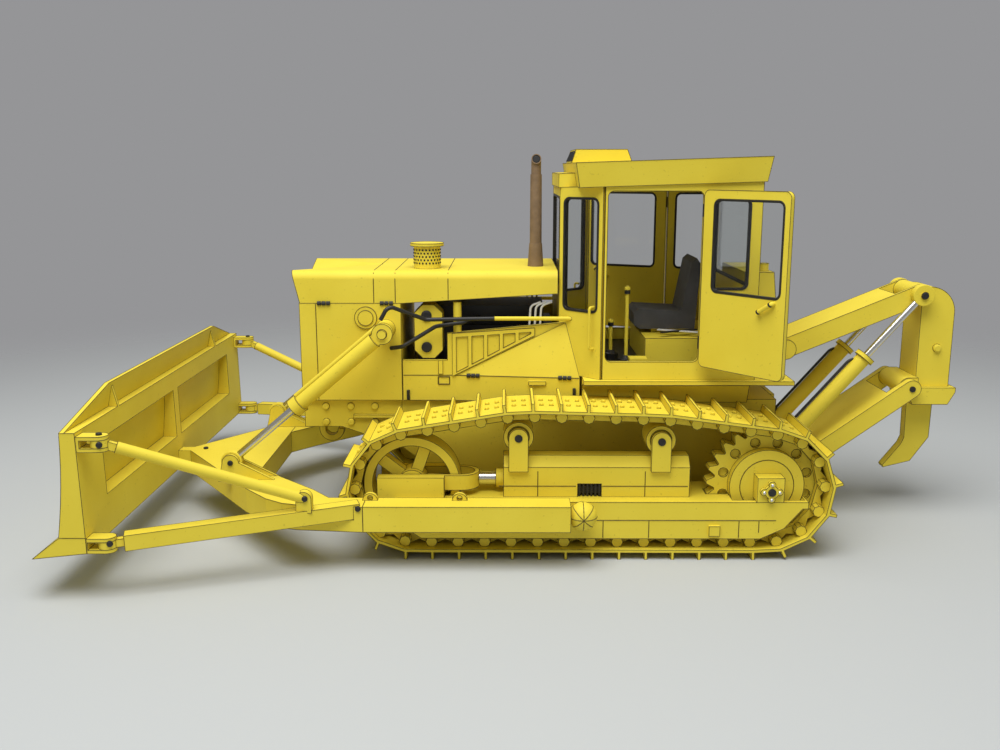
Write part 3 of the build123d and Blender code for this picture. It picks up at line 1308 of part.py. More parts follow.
def push_diagonal():
    """The slanted beam from the arm to the nose, bent into the arm at its outer side."""
    clear_x = IDLER_X - AXLE_Z - TRACK_CLEARANCE
    bend = [(x, ARM_OUTER - inset) for x, inset in BEND_POINTS]
    plan = [
        (NOSE_REAR, NOSE_REAR_HALF), *bend, (ARM_FRONT, ARM_OUTER), (ARM_FRONT, ARM_INNER),
        (clear_x, ARM_INNER), *DIAGONAL_INNER, (NOSE_REAR, DIAGONAL_REAR_Y),
    ]
    beam = plan_slab(plan, PUSH_LOW, PUSH_TOP)
    return beam - square_bar(clevis_pin(CLEVIS_LOWER_Z), LOWER_STRUT_FOOT, LOWER_STRUT_SIZE + FIT_GAP)


def lift_lug():
    """Side outline of a lift cylinder's lug: upright in front, with a long tail along the nose."""
    x, z = LIFT_LOWER
    low = PUSH_TOP - LUG_SINK
    return [
        (x - LUG_FRONT, low), (NOSE_REAR, low), (NOSE_REAR, PUSH_TOP), (x + LUG_TAIL, PUSH_TOP),
        (x + LUG_RADIUS, z), (x, z + LUG_RADIUS), (x - LUG_RADIUS, z),
    ]


def push_nose():
    """The tapered front of the push frame with the three-cornered lugs of the lift cylinders."""
    right = [(NOSE_TIP, NOSE_TIP_HALF), (NOSE_REAR, NOSE_REAR_HALF)]
    left = [(x, -y) for x, y in reversed(right)]
    nose = plan_slab(right + left, PUSH_LOW, PUSH_TOP)
    nose += block(BLADE_BACK, NOSE_TIP, -KNUCKLE_HALF, KNUCKLE_HALF, PUSH_LOW + KNUCKLE_STEP, PUSH_TOP)
    inside = LIFT_EYE_WIDTH / 2 + PIVOT_GAP
    room = LIFT_EYE_RADIUS + LIFT_DRIFT + EYE_SPARE
    lug = lift_lug()
    for sign in (-1, 1):
        y = sign * LIFT_Y
        for start in (y - inside - LUG_THICKNESS, y + inside):
            nose += side_slab(lug, start, start + LUG_THICKNESS)
            nose += disc(LIFT_LOWER, LUG_RADIUS, start, start + LUG_THICKNESS)
        nose -= disc(LIFT_LOWER, room, y - inside, y + inside)
        nose += disc(LIFT_LOWER, LIFT_PIN_RADIUS, y - inside, y + inside)
    return nose


def sheet_plate():
    """The hollow plate of the blade, from its edge to its top."""
    low, top = (BLADE_FRONT_LOW, BLADE_LOW), (BLADE_FRONT_TOP, BLADE_TOP)
    middle = ((low[0] + top[0]) / 2 + BLADE_HOLLOW, (low[1] + top[1]) / 2)
    front = ThreePointArc(at_y(low, -BLADE_HALF), at_y(middle, -BLADE_HALF), at_y(top, -BLADE_HALF))
    back = front.moved(Location((BLADE_SKIN, 0, 0)))
    outline = Wire([front, Line(front @ 1, back @ 1), back, Line(front @ 0, back @ 0)])
    return extrude(Face(outline), amount=2 * BLADE_HALF, dir=(0, 1, 0))


def visor_x(z):
    """Where the visor's front face lies at a height."""
    return BLADE_FRONT_TOP + VISOR_LEAN * (z - BLADE_TOP) / (VISOR_TOP_Z - BLADE_TOP)


def blade_sheet():
    """The front sheet: a shallow hollow plate and a visor above it that leans back."""
    visor = [
        (-BLADE_HALF, BLADE_TOP), (BLADE_HALF, BLADE_TOP),
        (VISOR_TOP_HALF, VISOR_TOP_Z), (-VISOR_TOP_HALF, VISOR_TOP_Z),
    ]
    plates = []
    for skin in (0.0, BLADE_SKIN):
        corners = [(visor_x(z) + skin, y, z) for y, z in visor]
        plates.append(Face(Wire.make_polygon(corners)))
    return sheet_plate() + loft(plates)


def blade_back():
    """The box frame behind the sheet: beams at top and foot, two hollow panels, gussets and clevises."""
    back_top = BLADE_BACK - BLADE_BACK_LEAN
    side = [
        (BLADE_FRONT_LOW + BLADE_SKIN, BLADE_LOW),
        (BLADE_BACK, BLADE_LOW),
        (back_top, BLADE_TOP),
        (BLADE_FRONT_TOP + BLADE_SKIN, BLADE_TOP),
    ]
    back = side_slab(side, -BLADE_HALF, BLADE_HALF) - sheet_plate()
    for y0, y1 in ((-PANEL_OUTER, -PANEL_INNER), (PANEL_INNER, PANEL_OUTER)):
        back -= block(BLADE_FRONT_LOW, BLADE_BACK, y0, y1, PANEL_LOW, PANEL_TOP)
    gusset_y = BLADE_HALF - GUSSET_SETBACK
    corners = [
        (visor_x(BLADE_TOP) + BLADE_SKIN, BLADE_TOP),
        (back_top, BLADE_TOP),
        (visor_x(GUSSET_TOP) + BLADE_SKIN, GUSSET_TOP),
    ]
    gusset = side_slab(corners, gusset_y, gusset_y + GUSSET_THICKNESS)
    upper = clevis(CLEVIS_UPPER_Z) - sheet_plate()
    return back.fuse(upper, other_side(upper), gusset, other_side(gusset))


def cutting_edge():
    """The wedge along the blade's foot, with the lower stays' clevises behind it."""
    side = [
        (EDGE_TIP, EDGE_TIP_Z),
        (BLADE_BACK, EDGE_BACK_Z),
        (BLADE_BACK, BLADE_LOW),
        (BLADE_FRONT_LOW, BLADE_LOW),
    ]
    lower = clevis(CLEVIS_LOWER_Z)
    return side_slab(side, -BLADE_HALF, BLADE_HALF).fuse(lower, other_side(lower))


def clevis(z):
    """The fork on the blade's back that a stay pins to: two flat plates and an upright pin."""
    half = CLEVIS_GAP / 2 + CLEVIS_PLATE
    start = BLADE_BACK - BLADE_BACK_LEAN
    near = CLEVIS_Y - CLEVIS_RADIUS
    far = CLEVIS_Y + CLEVIS_RADIUS
    fork = block(start, CLEVIS_PIN_X, near, far, z - half, z + half)
    fork += Pos(CLEVIS_PIN_X, CLEVIS_Y, z) * Cylinder(CLEVIS_RADIUS, 2 * half)
    gap_end = CLEVIS_PIN_X + CLEVIS_RADIUS
    gap = CLEVIS_GAP / 2
    fork -= block(BLADE_BACK + FIT_GAP, gap_end, near, far, z - gap, z + gap)
    return fork + Pos(CLEVIS_PIN_X, CLEVIS_Y, z) * Cylinder(CLEVIS_PIN_RADIUS, 2 * half)


def clevis_pin(z):
    """The pin of the clevis at a height."""
    return (CLEVIS_PIN_X, CLEVIS_Y, z)


def stay_start(z, foot):
    """Where a stay's bar starts, clear of its clevis."""
    pin = Vector(*clevis_pin(z))
    return tuple(pin + (Vector(*foot) - pin).normalized() * TONGUE_LENGTH)


def stay_tongue(z, foot):
    """The flat tongue of a stay, from round its clevis pin to its bar."""
    pin = clevis_pin(z)
    tongue = Pos(*pin) * Cylinder(CLEVIS_RADIUS, CLEVIS_GAP)
    return tongue + square_bar(pin, stay_start(z, foot), CLEVIS_GAP)


def lower_bar():
    """The square bar of the lower stay."""
    return square_bar(stay_start(CLEVIS_LOWER_Z, LOWER_STRUT_FOOT), LOWER_STRUT_FOOT, LOWER_STRUT_SIZE)


def strut_lug():
    """The upright lug on the lower stay that the upper stay's foot butts on."""
    x, y, z = UPPER_STRUT_FOOT
    half = STRUT_SHOE_WIDTH / 2
    lug = block(x - STRUT_SHOE, x + STRUT_SHOE, y - half, y + half, PUSH_TOP - LUG_SINK, z)
    return lug + disc((x, z), STRUT_SHOE, y - half, y + half)


def upper_strut():
    """The round stay from the blade's upper corner down to the lug on the lower stay."""
    stay = stay_tongue(CLEVIS_UPPER_Z, UPPER_STRUT_FOOT)
    stay += round_bar(stay_start(CLEVIS_UPPER_Z, UPPER_STRUT_FOOT), UPPER_STRUT_FOOT, UPPER_STRUT_DIAMETER)
    stay = stay - clevis(CLEVIS_UPPER_Z) - strut_lug() - lower_bar()
    return stay.solids().sort_by(SortBy.VOLUME)[-1]


def lower_strut():
    """The square stay from the blade's foot to the arm's front, with the upper stay's lug on it."""
    stay = stay_tongue(CLEVIS_LOWER_Z, LOWER_STRUT_FOOT) - clevis(CLEVIS_LOWER_Z)
    return stay + lower_bar() + strut_lug()


def lift_barrel():
    """The lift cylinder's barrel with its eye, its gland and the pipe along its upper side."""
    y = LIFT_Y
    half = LIFT_EYE_WIDTH / 2
    start = at_y(between(LIFT_UPPER, LIFT_LOWER, LIFT_BARREL_START), y)
    gland = at_y(between(LIFT_UPPER, LIFT_LOWER, LIFT_BARREL_LENGTH - LIFT_GLAND_LENGTH), y)
    end = at_y(between(LIFT_UPPER, LIFT_LOWER, LIFT_BARREL_LENGTH), y)
    barrel = round_bar(start, end, LIFT_BARREL_DIAMETER)
    barrel += round_bar(gland, end, LIFT_BARREL_DIAMETER + 2 * LIFT_GLAND_RIM)
    neck = between(LIFT_UPPER, LIFT_LOWER, LIFT_NECK)
    barrel += side_slab(strip(LIFT_UPPER, neck, LIFT_NECK_HEIGHT), y - half, y + half)
    barrel += disc(LIFT_UPPER, LIFT_BARREL_DIAMETER / 2 + LIFT_EYE_RIM, y - half, y + half)
    barrel -= disc(LIFT_UPPER, LIFT_TRUNNION_RADIUS + PIVOT_GAP, y - half, y + half)
    bore = at_y(between(LIFT_UPPER, LIFT_LOWER, LIFT_BORE_START), y)
    barrel -= round_bar(bore, at_y(LIFT_LOWER, y), LIFT_ROD_DIAMETER + 2 * PIVOT_GAP)
    along = (Vector(*end) - Vector(*start)).normalized()
    off = Vector(along.Z, 0, -along.X) * (LIFT_BARREL_DIAMETER / 2 + LIFT_PIPE_STAND)
    pipe_start = Vector(*at_y(LIFT_UPPER, y)) + off
    return barrel + round_bar(tuple(pipe_start), tuple(Vector(*gland) + off), LIFT_PIPE_DIAMETER)


def bent_tube(points, diameter):
    """A round tube along straight runs joined by arcs."""
    path = FilletPolyline(*points, radius=HOSE_BEND)
    seat = Plane(origin=path @ 0, z_dir=path % 0)
    return sweep(seat * Circle(diameter / 2), path=path)


def lift_hoses():
    """The black hoses from the lift cylinder's head into the opening under the bonnet."""
    x, z = LOWER_HOSE_START
    start = (x, BONNET_HALF_WIDTH, z)
    x, z = LOWER_HOSE_END
    end = (x, ENGINE_HALF_WIDTH - ROCKER_INSET, z)
    upper = bent_tube(UPPER_HOSE, HOSE_DIAMETER) - lift_pipe()
    lower = bent_tube((start, *LOWER_HOSE_RUN, end), HOSE_DIAMETER)
    lower -= block(RADIATOR_FRONT, RADIATOR_REAR, 0, BONNET_HALF_WIDTH, HULL_TOP, BONNET_LOW_FRONT)
    return Compound(children=[upper, lower - engine()])


def lift_pipe():
    """The pipe that carries the upper hose on along the bonnet to the cab's quarter wall."""
    x, y, z = HOSE_END
    pipe = round_bar(HOSE_END, (CAB_QUARTER_REAR, y, z), HOSE_DIAMETER)
    return pipe - plan_slab(cab_outline(), CAB_SILL, CAB_TOP)


def lift_rod():
    """The bright rod with its eye, which goes round the pin with room to drift."""
    y = LIFT_Y
    half = LIFT_EYE_WIDTH / 2
    start = between(LIFT_UPPER, LIFT_LOWER, LIFT_BARREL_LENGTH - LIFT_ROD_HIDDEN)
    end = between(LIFT_LOWER, LIFT_UPPER, LIFT_EYE_RADIUS - ROD_END_BITE)
    rod = round_bar(at_y(start, y), at_y(end, y), LIFT_ROD_DIAMETER)
    eye = disc(LIFT_LOWER, LIFT_EYE_RADIUS, y - half, y + half)
    eye -= disc(LIFT_LOWER, LIFT_PIN_RADIUS + LIFT_DRIFT, y - half, y + half)
    return rod + eye


def ripper_mount():
    """The bracket on the hull's rear: a plate and two cheeks that hold the frame's and cylinders' shafts."""
    inner = RIPPER_FRAME_HALF + PIVOT_GAP
    outer = inner + CHEEK_THICKNESS
    mount = block(HULL_REAR, HULL_REAR + MOUNT_PLATE, -outer, outer, HULL_TAIL_LOW, HULL_TOP)
    x, z = RIPPER_LOWER
    cheek = [
        (HULL_REAR, CHEEK_TOP),
        (HULL_REAR, HULL_TAIL_LOW),
        between((HULL_REAR, HULL_TAIL_LOW), (HULL_TAIL_FOOT, HULL_FLOOR), CHEEK_FOOT),
        (x, z - CHEEK_RADIUS),
        (x + CHEEK_RADIUS, z),
    ]
    for y0, y1 in ((-outer, -inner), (inner, outer)):
        mount += side_slab(cheek, y0, y1)
        mount += disc(RIPPER_LOWER, CHEEK_RADIUS, y0, y1)
    mount += disc(RIPPER_LOWER, RIPPER_PIN_RADIUS, -outer, outer)
    return mount + disc(RIPPER_CYLINDER_FOOT, RIPPER_PIN_RADIUS, -outer, outer)


def ripper_frame():
    """The lower frame: a box beam from the hull pivot with two ears round the carriage's foot."""
    half = RIPPER_FRAME_HALF
    height = RIPPER_FRAME_HEIGHT
    beam = side_slab(strip(RIPPER_LOWER, CARRIAGE_LOWER, height, 0, -RIPPER_FRAME_SETBACK), -half, half)
    beam += disc(RIPPER_LOWER, height / 2, -half, half)
    ear_start = between(CARRIAGE_LOWER, RIPPER_LOWER, RIPPER_EAR_LENGTH)
    inner = POCKET_HALF + PIVOT_GAP
    for y0, y1 in ((-half, -inner), (inner, half)):
        beam += side_slab(strip(ear_start, CARRIAGE_LOWER, height), y0, y1)
        beam += disc(CARRIAGE_LOWER, height / 2, y0, y1)
    beam -= disc(RIPPER_LOWER, RIPPER_PIN_RADIUS + PIVOT_GAP, -half, half)
    return beam + disc(CARRIAGE_LOWER, RIPPER_PIN_RADIUS, -half, half)


def ripper_link():
    """The upper link: a box beam with two ears round the carriage's upper pin."""
    half = RIPPER_LINK_HALF
    height = RIPPER_LINK_HEIGHT
    beam = side_slab(strip(RIPPER_UPPER, CARRIAGE_UPPER, height, 0, -RIPPER_LINK_SETBACK), -half, half)
    beam += disc(RIPPER_UPPER, height / 2, -half, half)
    ear_start = between(CARRIAGE_UPPER, RIPPER_UPPER, RIPPER_EAR_LENGTH)
    for y0, y1 in ((-half, -half + RIPPER_EAR), (half - RIPPER_EAR, half)):
        beam += side_slab(strip(ear_start, CARRIAGE_UPPER, height), y0, y1)
        beam += disc(CARRIAGE_UPPER, height / 2, y0, y1)
    beam -= disc(RIPPER_UPPER, RIPPER_PIN_RADIUS + PIVOT_GAP, -half, half)
    return beam - disc(CARRIAGE_UPPER, RIPPER_PIN_RADIUS + RIPPER_DRIFT, -half, half)


def ripper_column():
    """The carriage: an upright column with a rounded head, a foot plate, the pocket and both pins."""
    half, wide = COLUMN_HALF, POCKET_HALF
    column = block(COLUMN_FRONT, COLUMN_REAR, -half, half, COLUMN_LOW, COLUMN_TOP)
    rear_top = column.edges().filter_by(Axis.Y).group_by(Axis.Z)[-1].sort_by(Axis.X)[-1]
    column = fillet(rear_top, COLUMN_CORNER)
    column += disc(CARRIAGE_UPPER, COLUMN_HEAD_RADIUS, -half, half)
    x, z = CARRIAGE_LOWER
    column += disc(CARRIAGE_LOWER, COLUMN_FOOT_RADIUS, -wide, wide)
    column += block(x, COLUMN_FRONT, -wide, wide, COLUMN_LOW, z + COLUMN_FOOT_RADIUS)
    column += block(x, POCKET_REAR, -wide, wide, COLUMN_LOW, COLUMN_LOW + COLUMN_PLATE)
    pocket = [
        (x, COLUMN_LOW), (POCKET_FRONT, POCKET_LOW),
        (POCKET_REAR - POCKET_SLANT, POCKET_LOW), (POCKET_REAR, COLUMN_LOW),
    ]
    column += side_slab(pocket, -wide, wide)
    column -= disc(CARRIAGE_LOWER, RIPPER_PIN_RADIUS + PIVOT_GAP, -wide, wide)
    reach = RIPPER_CYLINDER_Y + RIPPER_EYE_WIDTH / 2 + COLUMN_PIN_END
    return column + disc(CARRIAGE_UPPER, RIPPER_PIN_RADIUS, -reach, reach)


def ripper_shank():
    """The single tooth under the pocket, hooked forwards to its tip."""
    front, rear = SHANK_TOP
    side = [(front, POCKET_LOW), (rear, POCKET_LOW), *SHANK_SIDE]
    return side_slab(side, -SHANK_HALF, SHANK_HALF)


def ripper_barrel():
    """A ripper cylinder's barrel with its foot eye and flanged head."""
    y = RIPPER_CYLINDER_Y
    half = RIPPER_BARREL_DIAMETER / 2
    foot, head = RIPPER_CYLINDER_FOOT, CARRIAGE_UPPER
    end = at_y(between(foot, head, RIPPER_BARREL_LENGTH), y)
    flange = at_y(between(foot, head, RIPPER_BARREL_LENGTH - RIPPER_FLANGE_LENGTH), y)
    barrel = round_bar(at_y(foot, y), end, RIPPER_BARREL_DIAMETER)
    barrel += round_bar(flange, end, 2 * RIPPER_FLANGE_RADIUS)
    barrel += disc(foot, half, y - half, y + half)
    barrel -= disc(foot, RIPPER_PIN_RADIUS + PIVOT_GAP, y - half, y + half)
    bore = at_y(between(foot, head, RIPPER_BORE_START), y)
    return barrel - round_bar(bore, at_y(head, y), RIPPER_ROD_DIAMETER + 2 * PIVOT_GAP)


def ripper_rod():
    """A ripper cylinder's bright rod with its open eye."""
    y = RIPPER_CYLINDER_Y
    half = RIPPER_EYE_WIDTH / 2
    foot, head = RIPPER_CYLINDER_FOOT, CARRIAGE_UPPER
    start = between(foot, head, RIPPER_BARREL_LENGTH - RIPPER_ROD_HIDDEN)
    end = between(head, foot, RIPPER_EYE_RADIUS - ROD_END_BITE)
    rod = round_bar(at_y(start, y), at_y(end, y), RIPPER_ROD_DIAMETER)
    eye = disc(head, RIPPER_EYE_RADIUS, y - half, y + half)
    eye -= disc(head, RIPPER_PIN_RADIUS + RIPPER_DRIFT + EYE_SPARE, y - half, y + half)
    return rod + eye


def assemble():
    """Every node by name, in the modelling frame."""
    nodes = {
        "hull": hull(),
        "front_frame": front_frame(),
        "radiator": radiator(),
        "bonnet": bonnet(),
        "engine": engine(),
        "precleaner": precleaner(),
        "exhaust": exhaust(),
        "fender": fender(),
        "cab_floor": cab_floor(),
        "cab_front": cab_front(),
        "cab_rear": cab_rear(),
        "cab_glass": cab_glass(),
        "cab_roof": cab_roof(),
        "roof_box": roof_box(),
        "seat": seat(),
        "seat_box": seat_box(),
        "levers": levers(),
        "rear_tank": rear_tank(),
        "ripper_mount": ripper_mount(),
        "push_nose": push_nose(),
        "blade_sheet": blade_sheet(),
        "blade_back": blade_back(),
        "cutting_edge": cutting_edge(),
        "ripper_frame": ripper_frame(),
        "ripper_link": ripper_link(),
        "ripper_column": ripper_column(),
        "ripper_shank": ripper_shank(),
    }
    for name, shape in (("track", track()), ("cab_side", cab_side())):
        nodes[name + "_right"] = shape
        nodes[name + "_left"] = other_side(shape)
    pairs = {
        "track_frames": track_frame(),
        "track_rollers": track_rollers(),
        "carrier_rollers": carrier_rollers(),
        "idlers": idler(),
        "idler_yokes": idler_yoke(),
        "recoil_rods": recoil_rod(),
        "recoil_housings": recoil_housing(),
        "recoil_springs": recoil_spring(),
        "sprockets": sprocket(),
        "axle_bearings": axle_bearing(),
        "side_panels": side_panel(),
        "valve_blocks": valve_block(),
        "push_arms": push_arm(),
        "push_diagonals": push_diagonal(),
        "upper_struts": upper_strut(),
        "lower_struts": lower_strut(),
        "lift_barrels": lift_barrel(),
        "lift_hoses": lift_hoses(),
        "lift_pipes": lift_pipe(),
        "lift_rods": lift_rod(),
        "ripper_barrels": ripper_barrel(),
        "ripper_rods": ripper_rod(),
    }
    for name, shape in pairs.items():
        nodes[name] = Compound(children=[*shape.solids(), *other_side(shape).solids()])
    for name, shape in (("", door()), ("_glass", door_glass())):
        nodes["door_right" + name] = opened(shape, DOOR_RIGHT_ANGLE)
        nodes["door_left" + name] = other_side(opened(shape, DOOR_LEFT_ANGLE))
    return nodes


def origin_shift(nodes):
    """The move that puts the bottom centre of the whole at the origin."""
    boxes = [shape.bounding_box() for shape in nodes.values()]
    low = [min(tuple(box.min)[k] for box in boxes) for k in range(3)]
    high = [max(tuple(box.max)[k] for box in boxes) for k in range(3)]
    return (-(low[0] + high[0]) / 2, -(low[1] + high[1]) / 2, -low[2])


NODES = assemble()
SHIFT = origin_shift(NODES)
os.makedirs("parts", exist_ok=True)
for node_name, node_shape in NODES.items():
    export_step(node_shape.moved(Location(SHIFT)), f"parts/{node_name}.step")
print("origin shift", [round(value, 3) for value in SHIFT])
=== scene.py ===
"""Yellow card model of a crawler bulldozer, dressed for the studio.

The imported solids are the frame.  They keep their places and get their card, wire and sheet finishes here,
and the small trim is modelled on them: seams, seals, hinges, bolts, straps, handles and hoses.  The scene is
in metres.  Places are written in millimetres, counted from the sprocket axle, and turned by MM and at().
"""
import json
from math import cos, pi, radians, sin

import bmesh
import bpy
from mathutils import Matrix, Vector

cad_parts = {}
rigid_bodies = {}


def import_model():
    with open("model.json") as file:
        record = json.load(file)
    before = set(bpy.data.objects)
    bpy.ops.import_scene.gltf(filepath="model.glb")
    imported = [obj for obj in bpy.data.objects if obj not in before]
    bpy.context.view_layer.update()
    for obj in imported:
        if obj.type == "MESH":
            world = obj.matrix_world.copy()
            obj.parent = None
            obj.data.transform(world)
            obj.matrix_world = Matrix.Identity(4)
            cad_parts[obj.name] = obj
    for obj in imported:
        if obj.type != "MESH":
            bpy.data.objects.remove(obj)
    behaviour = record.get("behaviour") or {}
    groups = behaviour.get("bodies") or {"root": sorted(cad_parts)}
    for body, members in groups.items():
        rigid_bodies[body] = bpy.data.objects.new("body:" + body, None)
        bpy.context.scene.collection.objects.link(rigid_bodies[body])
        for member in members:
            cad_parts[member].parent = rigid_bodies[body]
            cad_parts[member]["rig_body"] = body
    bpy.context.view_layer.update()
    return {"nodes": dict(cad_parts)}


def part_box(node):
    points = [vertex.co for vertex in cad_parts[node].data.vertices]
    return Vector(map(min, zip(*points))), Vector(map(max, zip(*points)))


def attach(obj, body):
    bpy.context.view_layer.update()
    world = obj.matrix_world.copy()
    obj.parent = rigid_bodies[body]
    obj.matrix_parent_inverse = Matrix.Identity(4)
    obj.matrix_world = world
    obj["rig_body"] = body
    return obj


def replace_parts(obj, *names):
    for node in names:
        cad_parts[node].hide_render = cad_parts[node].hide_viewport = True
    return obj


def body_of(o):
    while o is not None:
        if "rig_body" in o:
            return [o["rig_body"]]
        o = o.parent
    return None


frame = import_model()

MM = 0.001
AXLE_X = sum(corner.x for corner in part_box("axle_bearings")) / 2
AXLE_Z = 21.6
NEAR, FAR = -1, 1
SIDES = (NEAR, FAR)


def at(x, y, z):
    """A place in millimetres, counted from the sprocket axle on the ground's midline."""
    return Vector((AXLE_X + x * MM, y * MM, z * MM))


def side_run(points, side):
    """Places listed in millimetres for the far side, taken to one side of the model."""
    return [at(x, y * side, z) for x, y, z in points]


# Colour and node helpers
def linear(hex_value):
    """A colour written as sRGB hex, turned to linear."""
    channels = [int(hex_value[i:i + 2], 16) / 255 for i in (1, 3, 5)]
    return tuple(c / 12.92 if c <= 0.04045 else ((c + 0.055) / 1.055) ** 2.4 for c in channels) + (1.0,)


def add(tree, kind, settings=None, values=None, links=None):
    """Adds one node with its settings, its socket values and its links."""
    made = tree.nodes.new(kind)
    for name, value in (settings or {}).items():
        setattr(made, name, value)
    for socket, value in (values or {}).items():
        made.inputs[socket].default_value = value
    for socket, source in (links or {}).items():
        tree.links.new(source, made.inputs[socket])
    return made


def new_material(name):
    """An empty material with its tree and its object coordinates."""
    made = bpy.data.materials.new(name)
    made.use_nodes = True
    tree = made.node_tree
    tree.nodes.clear()
    place = add(tree, "ShaderNodeTexCoord").outputs["Object"]
    return made, tree, place


# Finishes

# A colour mix node's sockets for its two colours and its result
MIX_A, MIX_B, MIX_RESULT = 6, 7, 2

BRUSH_PATCH = 14 * MM
PAINT_FLECK = 0.9 * MM
FLECK_FROM, FLECK_TO, FLECK_DEPTH = 0.70, 0.78, 0.35
CARD_FIBRE = 0.35 * MM
FIBRE_RISE = 0.05 * MM
DRAWN_STREAK = 0.8 * MM
SHEET_SMEAR = 12 * MM
SHEET_IOR = 1.2


def yellow_card_finish():
    """Painted card: dead matt, a faint fibre tooth and a slightly uneven hand-brushed tone."""
    made, tree, place = new_material("painted_yellow_card")
    brush = add(tree, "ShaderNodeTexNoise", None, {"Scale": 1 / BRUSH_PATCH, "Detail": 3.0},
                {"Vector": place})
    tone = add(tree, "ShaderNodeMix", {"data_type": "RGBA"},
               {MIX_A: linear("#DEC737"), MIX_B: linear("#EAD646")}, {0: brush.outputs["Fac"]})
    fleck = add(tree, "ShaderNodeTexNoise", None, {"Scale": 1 / PAINT_FLECK, "Detail": 1.0},
                {"Vector": place})
    few = add(tree, "ShaderNodeMapRange", None,
              {"From Min": FLECK_FROM, "From Max": FLECK_TO, "To Max": FLECK_DEPTH},
              {"Value": fleck.outputs["Fac"]})
    worn = add(tree, "ShaderNodeMix", {"data_type": "RGBA"}, {MIX_B: linear("#A8942C")},
               {0: few.outputs["Result"], MIX_A: tone.outputs[MIX_RESULT]})
    fibre = add(tree, "ShaderNodeTexNoise", None, {"Scale": 1 / CARD_FIBRE, "Detail": 2.0},
                {"Vector": place})
    bump = add(tree, "ShaderNodeBump", None, {"Strength": 0.15, "Distance": FIBRE_RISE},
               {"Height": fibre.outputs["Fac"]})
    coat = add(tree, "ShaderNodeBsdfPrincipled", None, {"Roughness": 0.62, "Specular IOR Level": 0.25},
               {"Base Color": worn.outputs[MIX_RESULT], "Normal": bump.outputs["Normal"]})
    add(tree, "ShaderNodeOutputMaterial", links={"Surface": coat.outputs["BSDF"]})
    return made


def mottled_finish(name, patch, detail, dark, pale, roughness):
    """A plain finish whose tone wanders between two shades over patches of one size."""
    made, tree, place = new_material(name)
    patches = add(tree, "ShaderNodeTexNoise", None, {"Scale": 1 / patch, "Detail": detail}, {"Vector": place})
    tone = add(tree, "ShaderNodeMix", {"data_type": "RGBA"},
               {MIX_A: linear(dark), MIX_B: linear(pale)}, {0: patches.outputs["Fac"]})
    coat = add(tree, "ShaderNodeBsdfPrincipled", None, {"Roughness": roughness},
               {"Base Color": tone.outputs[MIX_RESULT]})
    add(tree, "ShaderNodeOutputMaterial", links={"Surface": coat.outputs["BSDF"]})
    return made


def bright_wire_finish():
    """Drawn steel wire: bright, its gloss a little uneven from the die."""
    made, tree, place = new_material("drawn_steel_wire")
    streak = add(tree, "ShaderNodeTexNoise", None, {"Scale": 1 / DRAWN_STREAK, "Detail": 2.0},
                 {"Vector": place})
    rough = add(tree, "ShaderNodeMapRange", None, {"To Min": 0.16, "To Max": 0.30},
                {"Value": streak.outputs["Fac"]})
    metal = add(tree, "ShaderNodeBsdfPrincipled", None,
                {"Metallic": 1.0, "Base Color": linear("#D9D8D2")}, {"Roughness": rough.outputs["Result"]})
    add(tree, "ShaderNodeOutputMaterial", links={"Surface": metal.outputs["BSDF"]})
    return made


def clear_sheet_finish():
    """Clear acetate sheet: see-through, with a thin hard gloss that is a little smeared."""
    made, tree, place = new_material("clear_acetate_sheet")
    smear = add(tree, "ShaderNodeTexNoise", None, {"Scale": 1 / SHEET_SMEAR, "Detail": 2.0},
                {"Vector": place})
    rough = add(tree, "ShaderNodeMapRange", None, {"To Min": 0.02, "To Max": 0.06},
                {"Value": smear.outputs["Fac"]})
    pane = add(tree, "ShaderNodeBsdfPrincipled", None,
               {"IOR": SHEET_IOR, "Base Color": linear("#F7F9F8"), "Transmission Weight": 1.0},
               {"Roughness": rough.outputs["Result"]})
    add(tree, "ShaderNodeOutputMaterial", links={"Surface": pane.outputs["BSDF"]})
    return made


FINISHES = {
    "yellow_card": yellow_card_finish(),
    # Black painted card: soft black with a grey tooth
    "black_card": mottled_finish("painted_black_card", 0.5 * MM, 2.0, "#111111", "#242322", 0.5),
    # Charcoal painted card of the seat: flat dark grey, a little lighter where handled
    "charcoal_card": mottled_finish("painted_charcoal_card", 4 * MM, 4.0, "#353536", "#525254", 0.6),
    "bright_wire": bright_wire_finish(),
    # Rust-brown paint on rolled card: matt, darker and sootier in patches
    "brown_paint": mottled_finish("rust_brown_paint", 3 * MM, 5.0, "#5E4A33", "#93795A", 0.7),
    "clear_sheet": clear_sheet_finish(),
}
# Dark line where two cards meet: brown-black, broken up a little along its run. The same colour is the
# painted shade in the ring round each card bolt's foot
SEAM_INK_AND_SHADE = mottled_finish("dark_seam_and_shade_line", 2.5 * MM, 2.0, "#2E270F", "#7A6A22", 0.8)
# White paper tape of the straps: off-white with a faint weave of grey
WHITE_TAPE = mottled_finish("white_paper_tape", 0.6 * MM, 2.0, "#BFBFBA", "#DEDDD8", 0.7)

for piece in frame["nodes"].values():
    slot = piece.material_slots[0].name if piece.material_slots else "yellow_card"
    key = next((name for name in FINISHES if slot.startswith(name)), "yellow_card")
    piece.data.materials.clear()
    piece.data.materials.append(FINISHES[key])


# Modelling helpers

# Points closer than this are one point
WELD = 0.001 * MM
# How far a bolt's or pin's top is drawn in and up, as a share of its radius and height
CROWN = 0.3
# A face faces a way when its normal leans at least this far that way
FACING = 0.9
# Start of a line of sight, clear of the model
CLEAR_SIDE = 120
CLEAR_TOP = 200


def start_fresh():
    """Deselects everything, so that the next operator acts on the new piece alone."""
    bpy.ops.object.select_all(action="DESELECT")


def settle():
    """Takes the place, turn and size of the piece in hand into its mesh."""
    bpy.ops.object.transform_apply(location=True, rotation=True, scale=True)


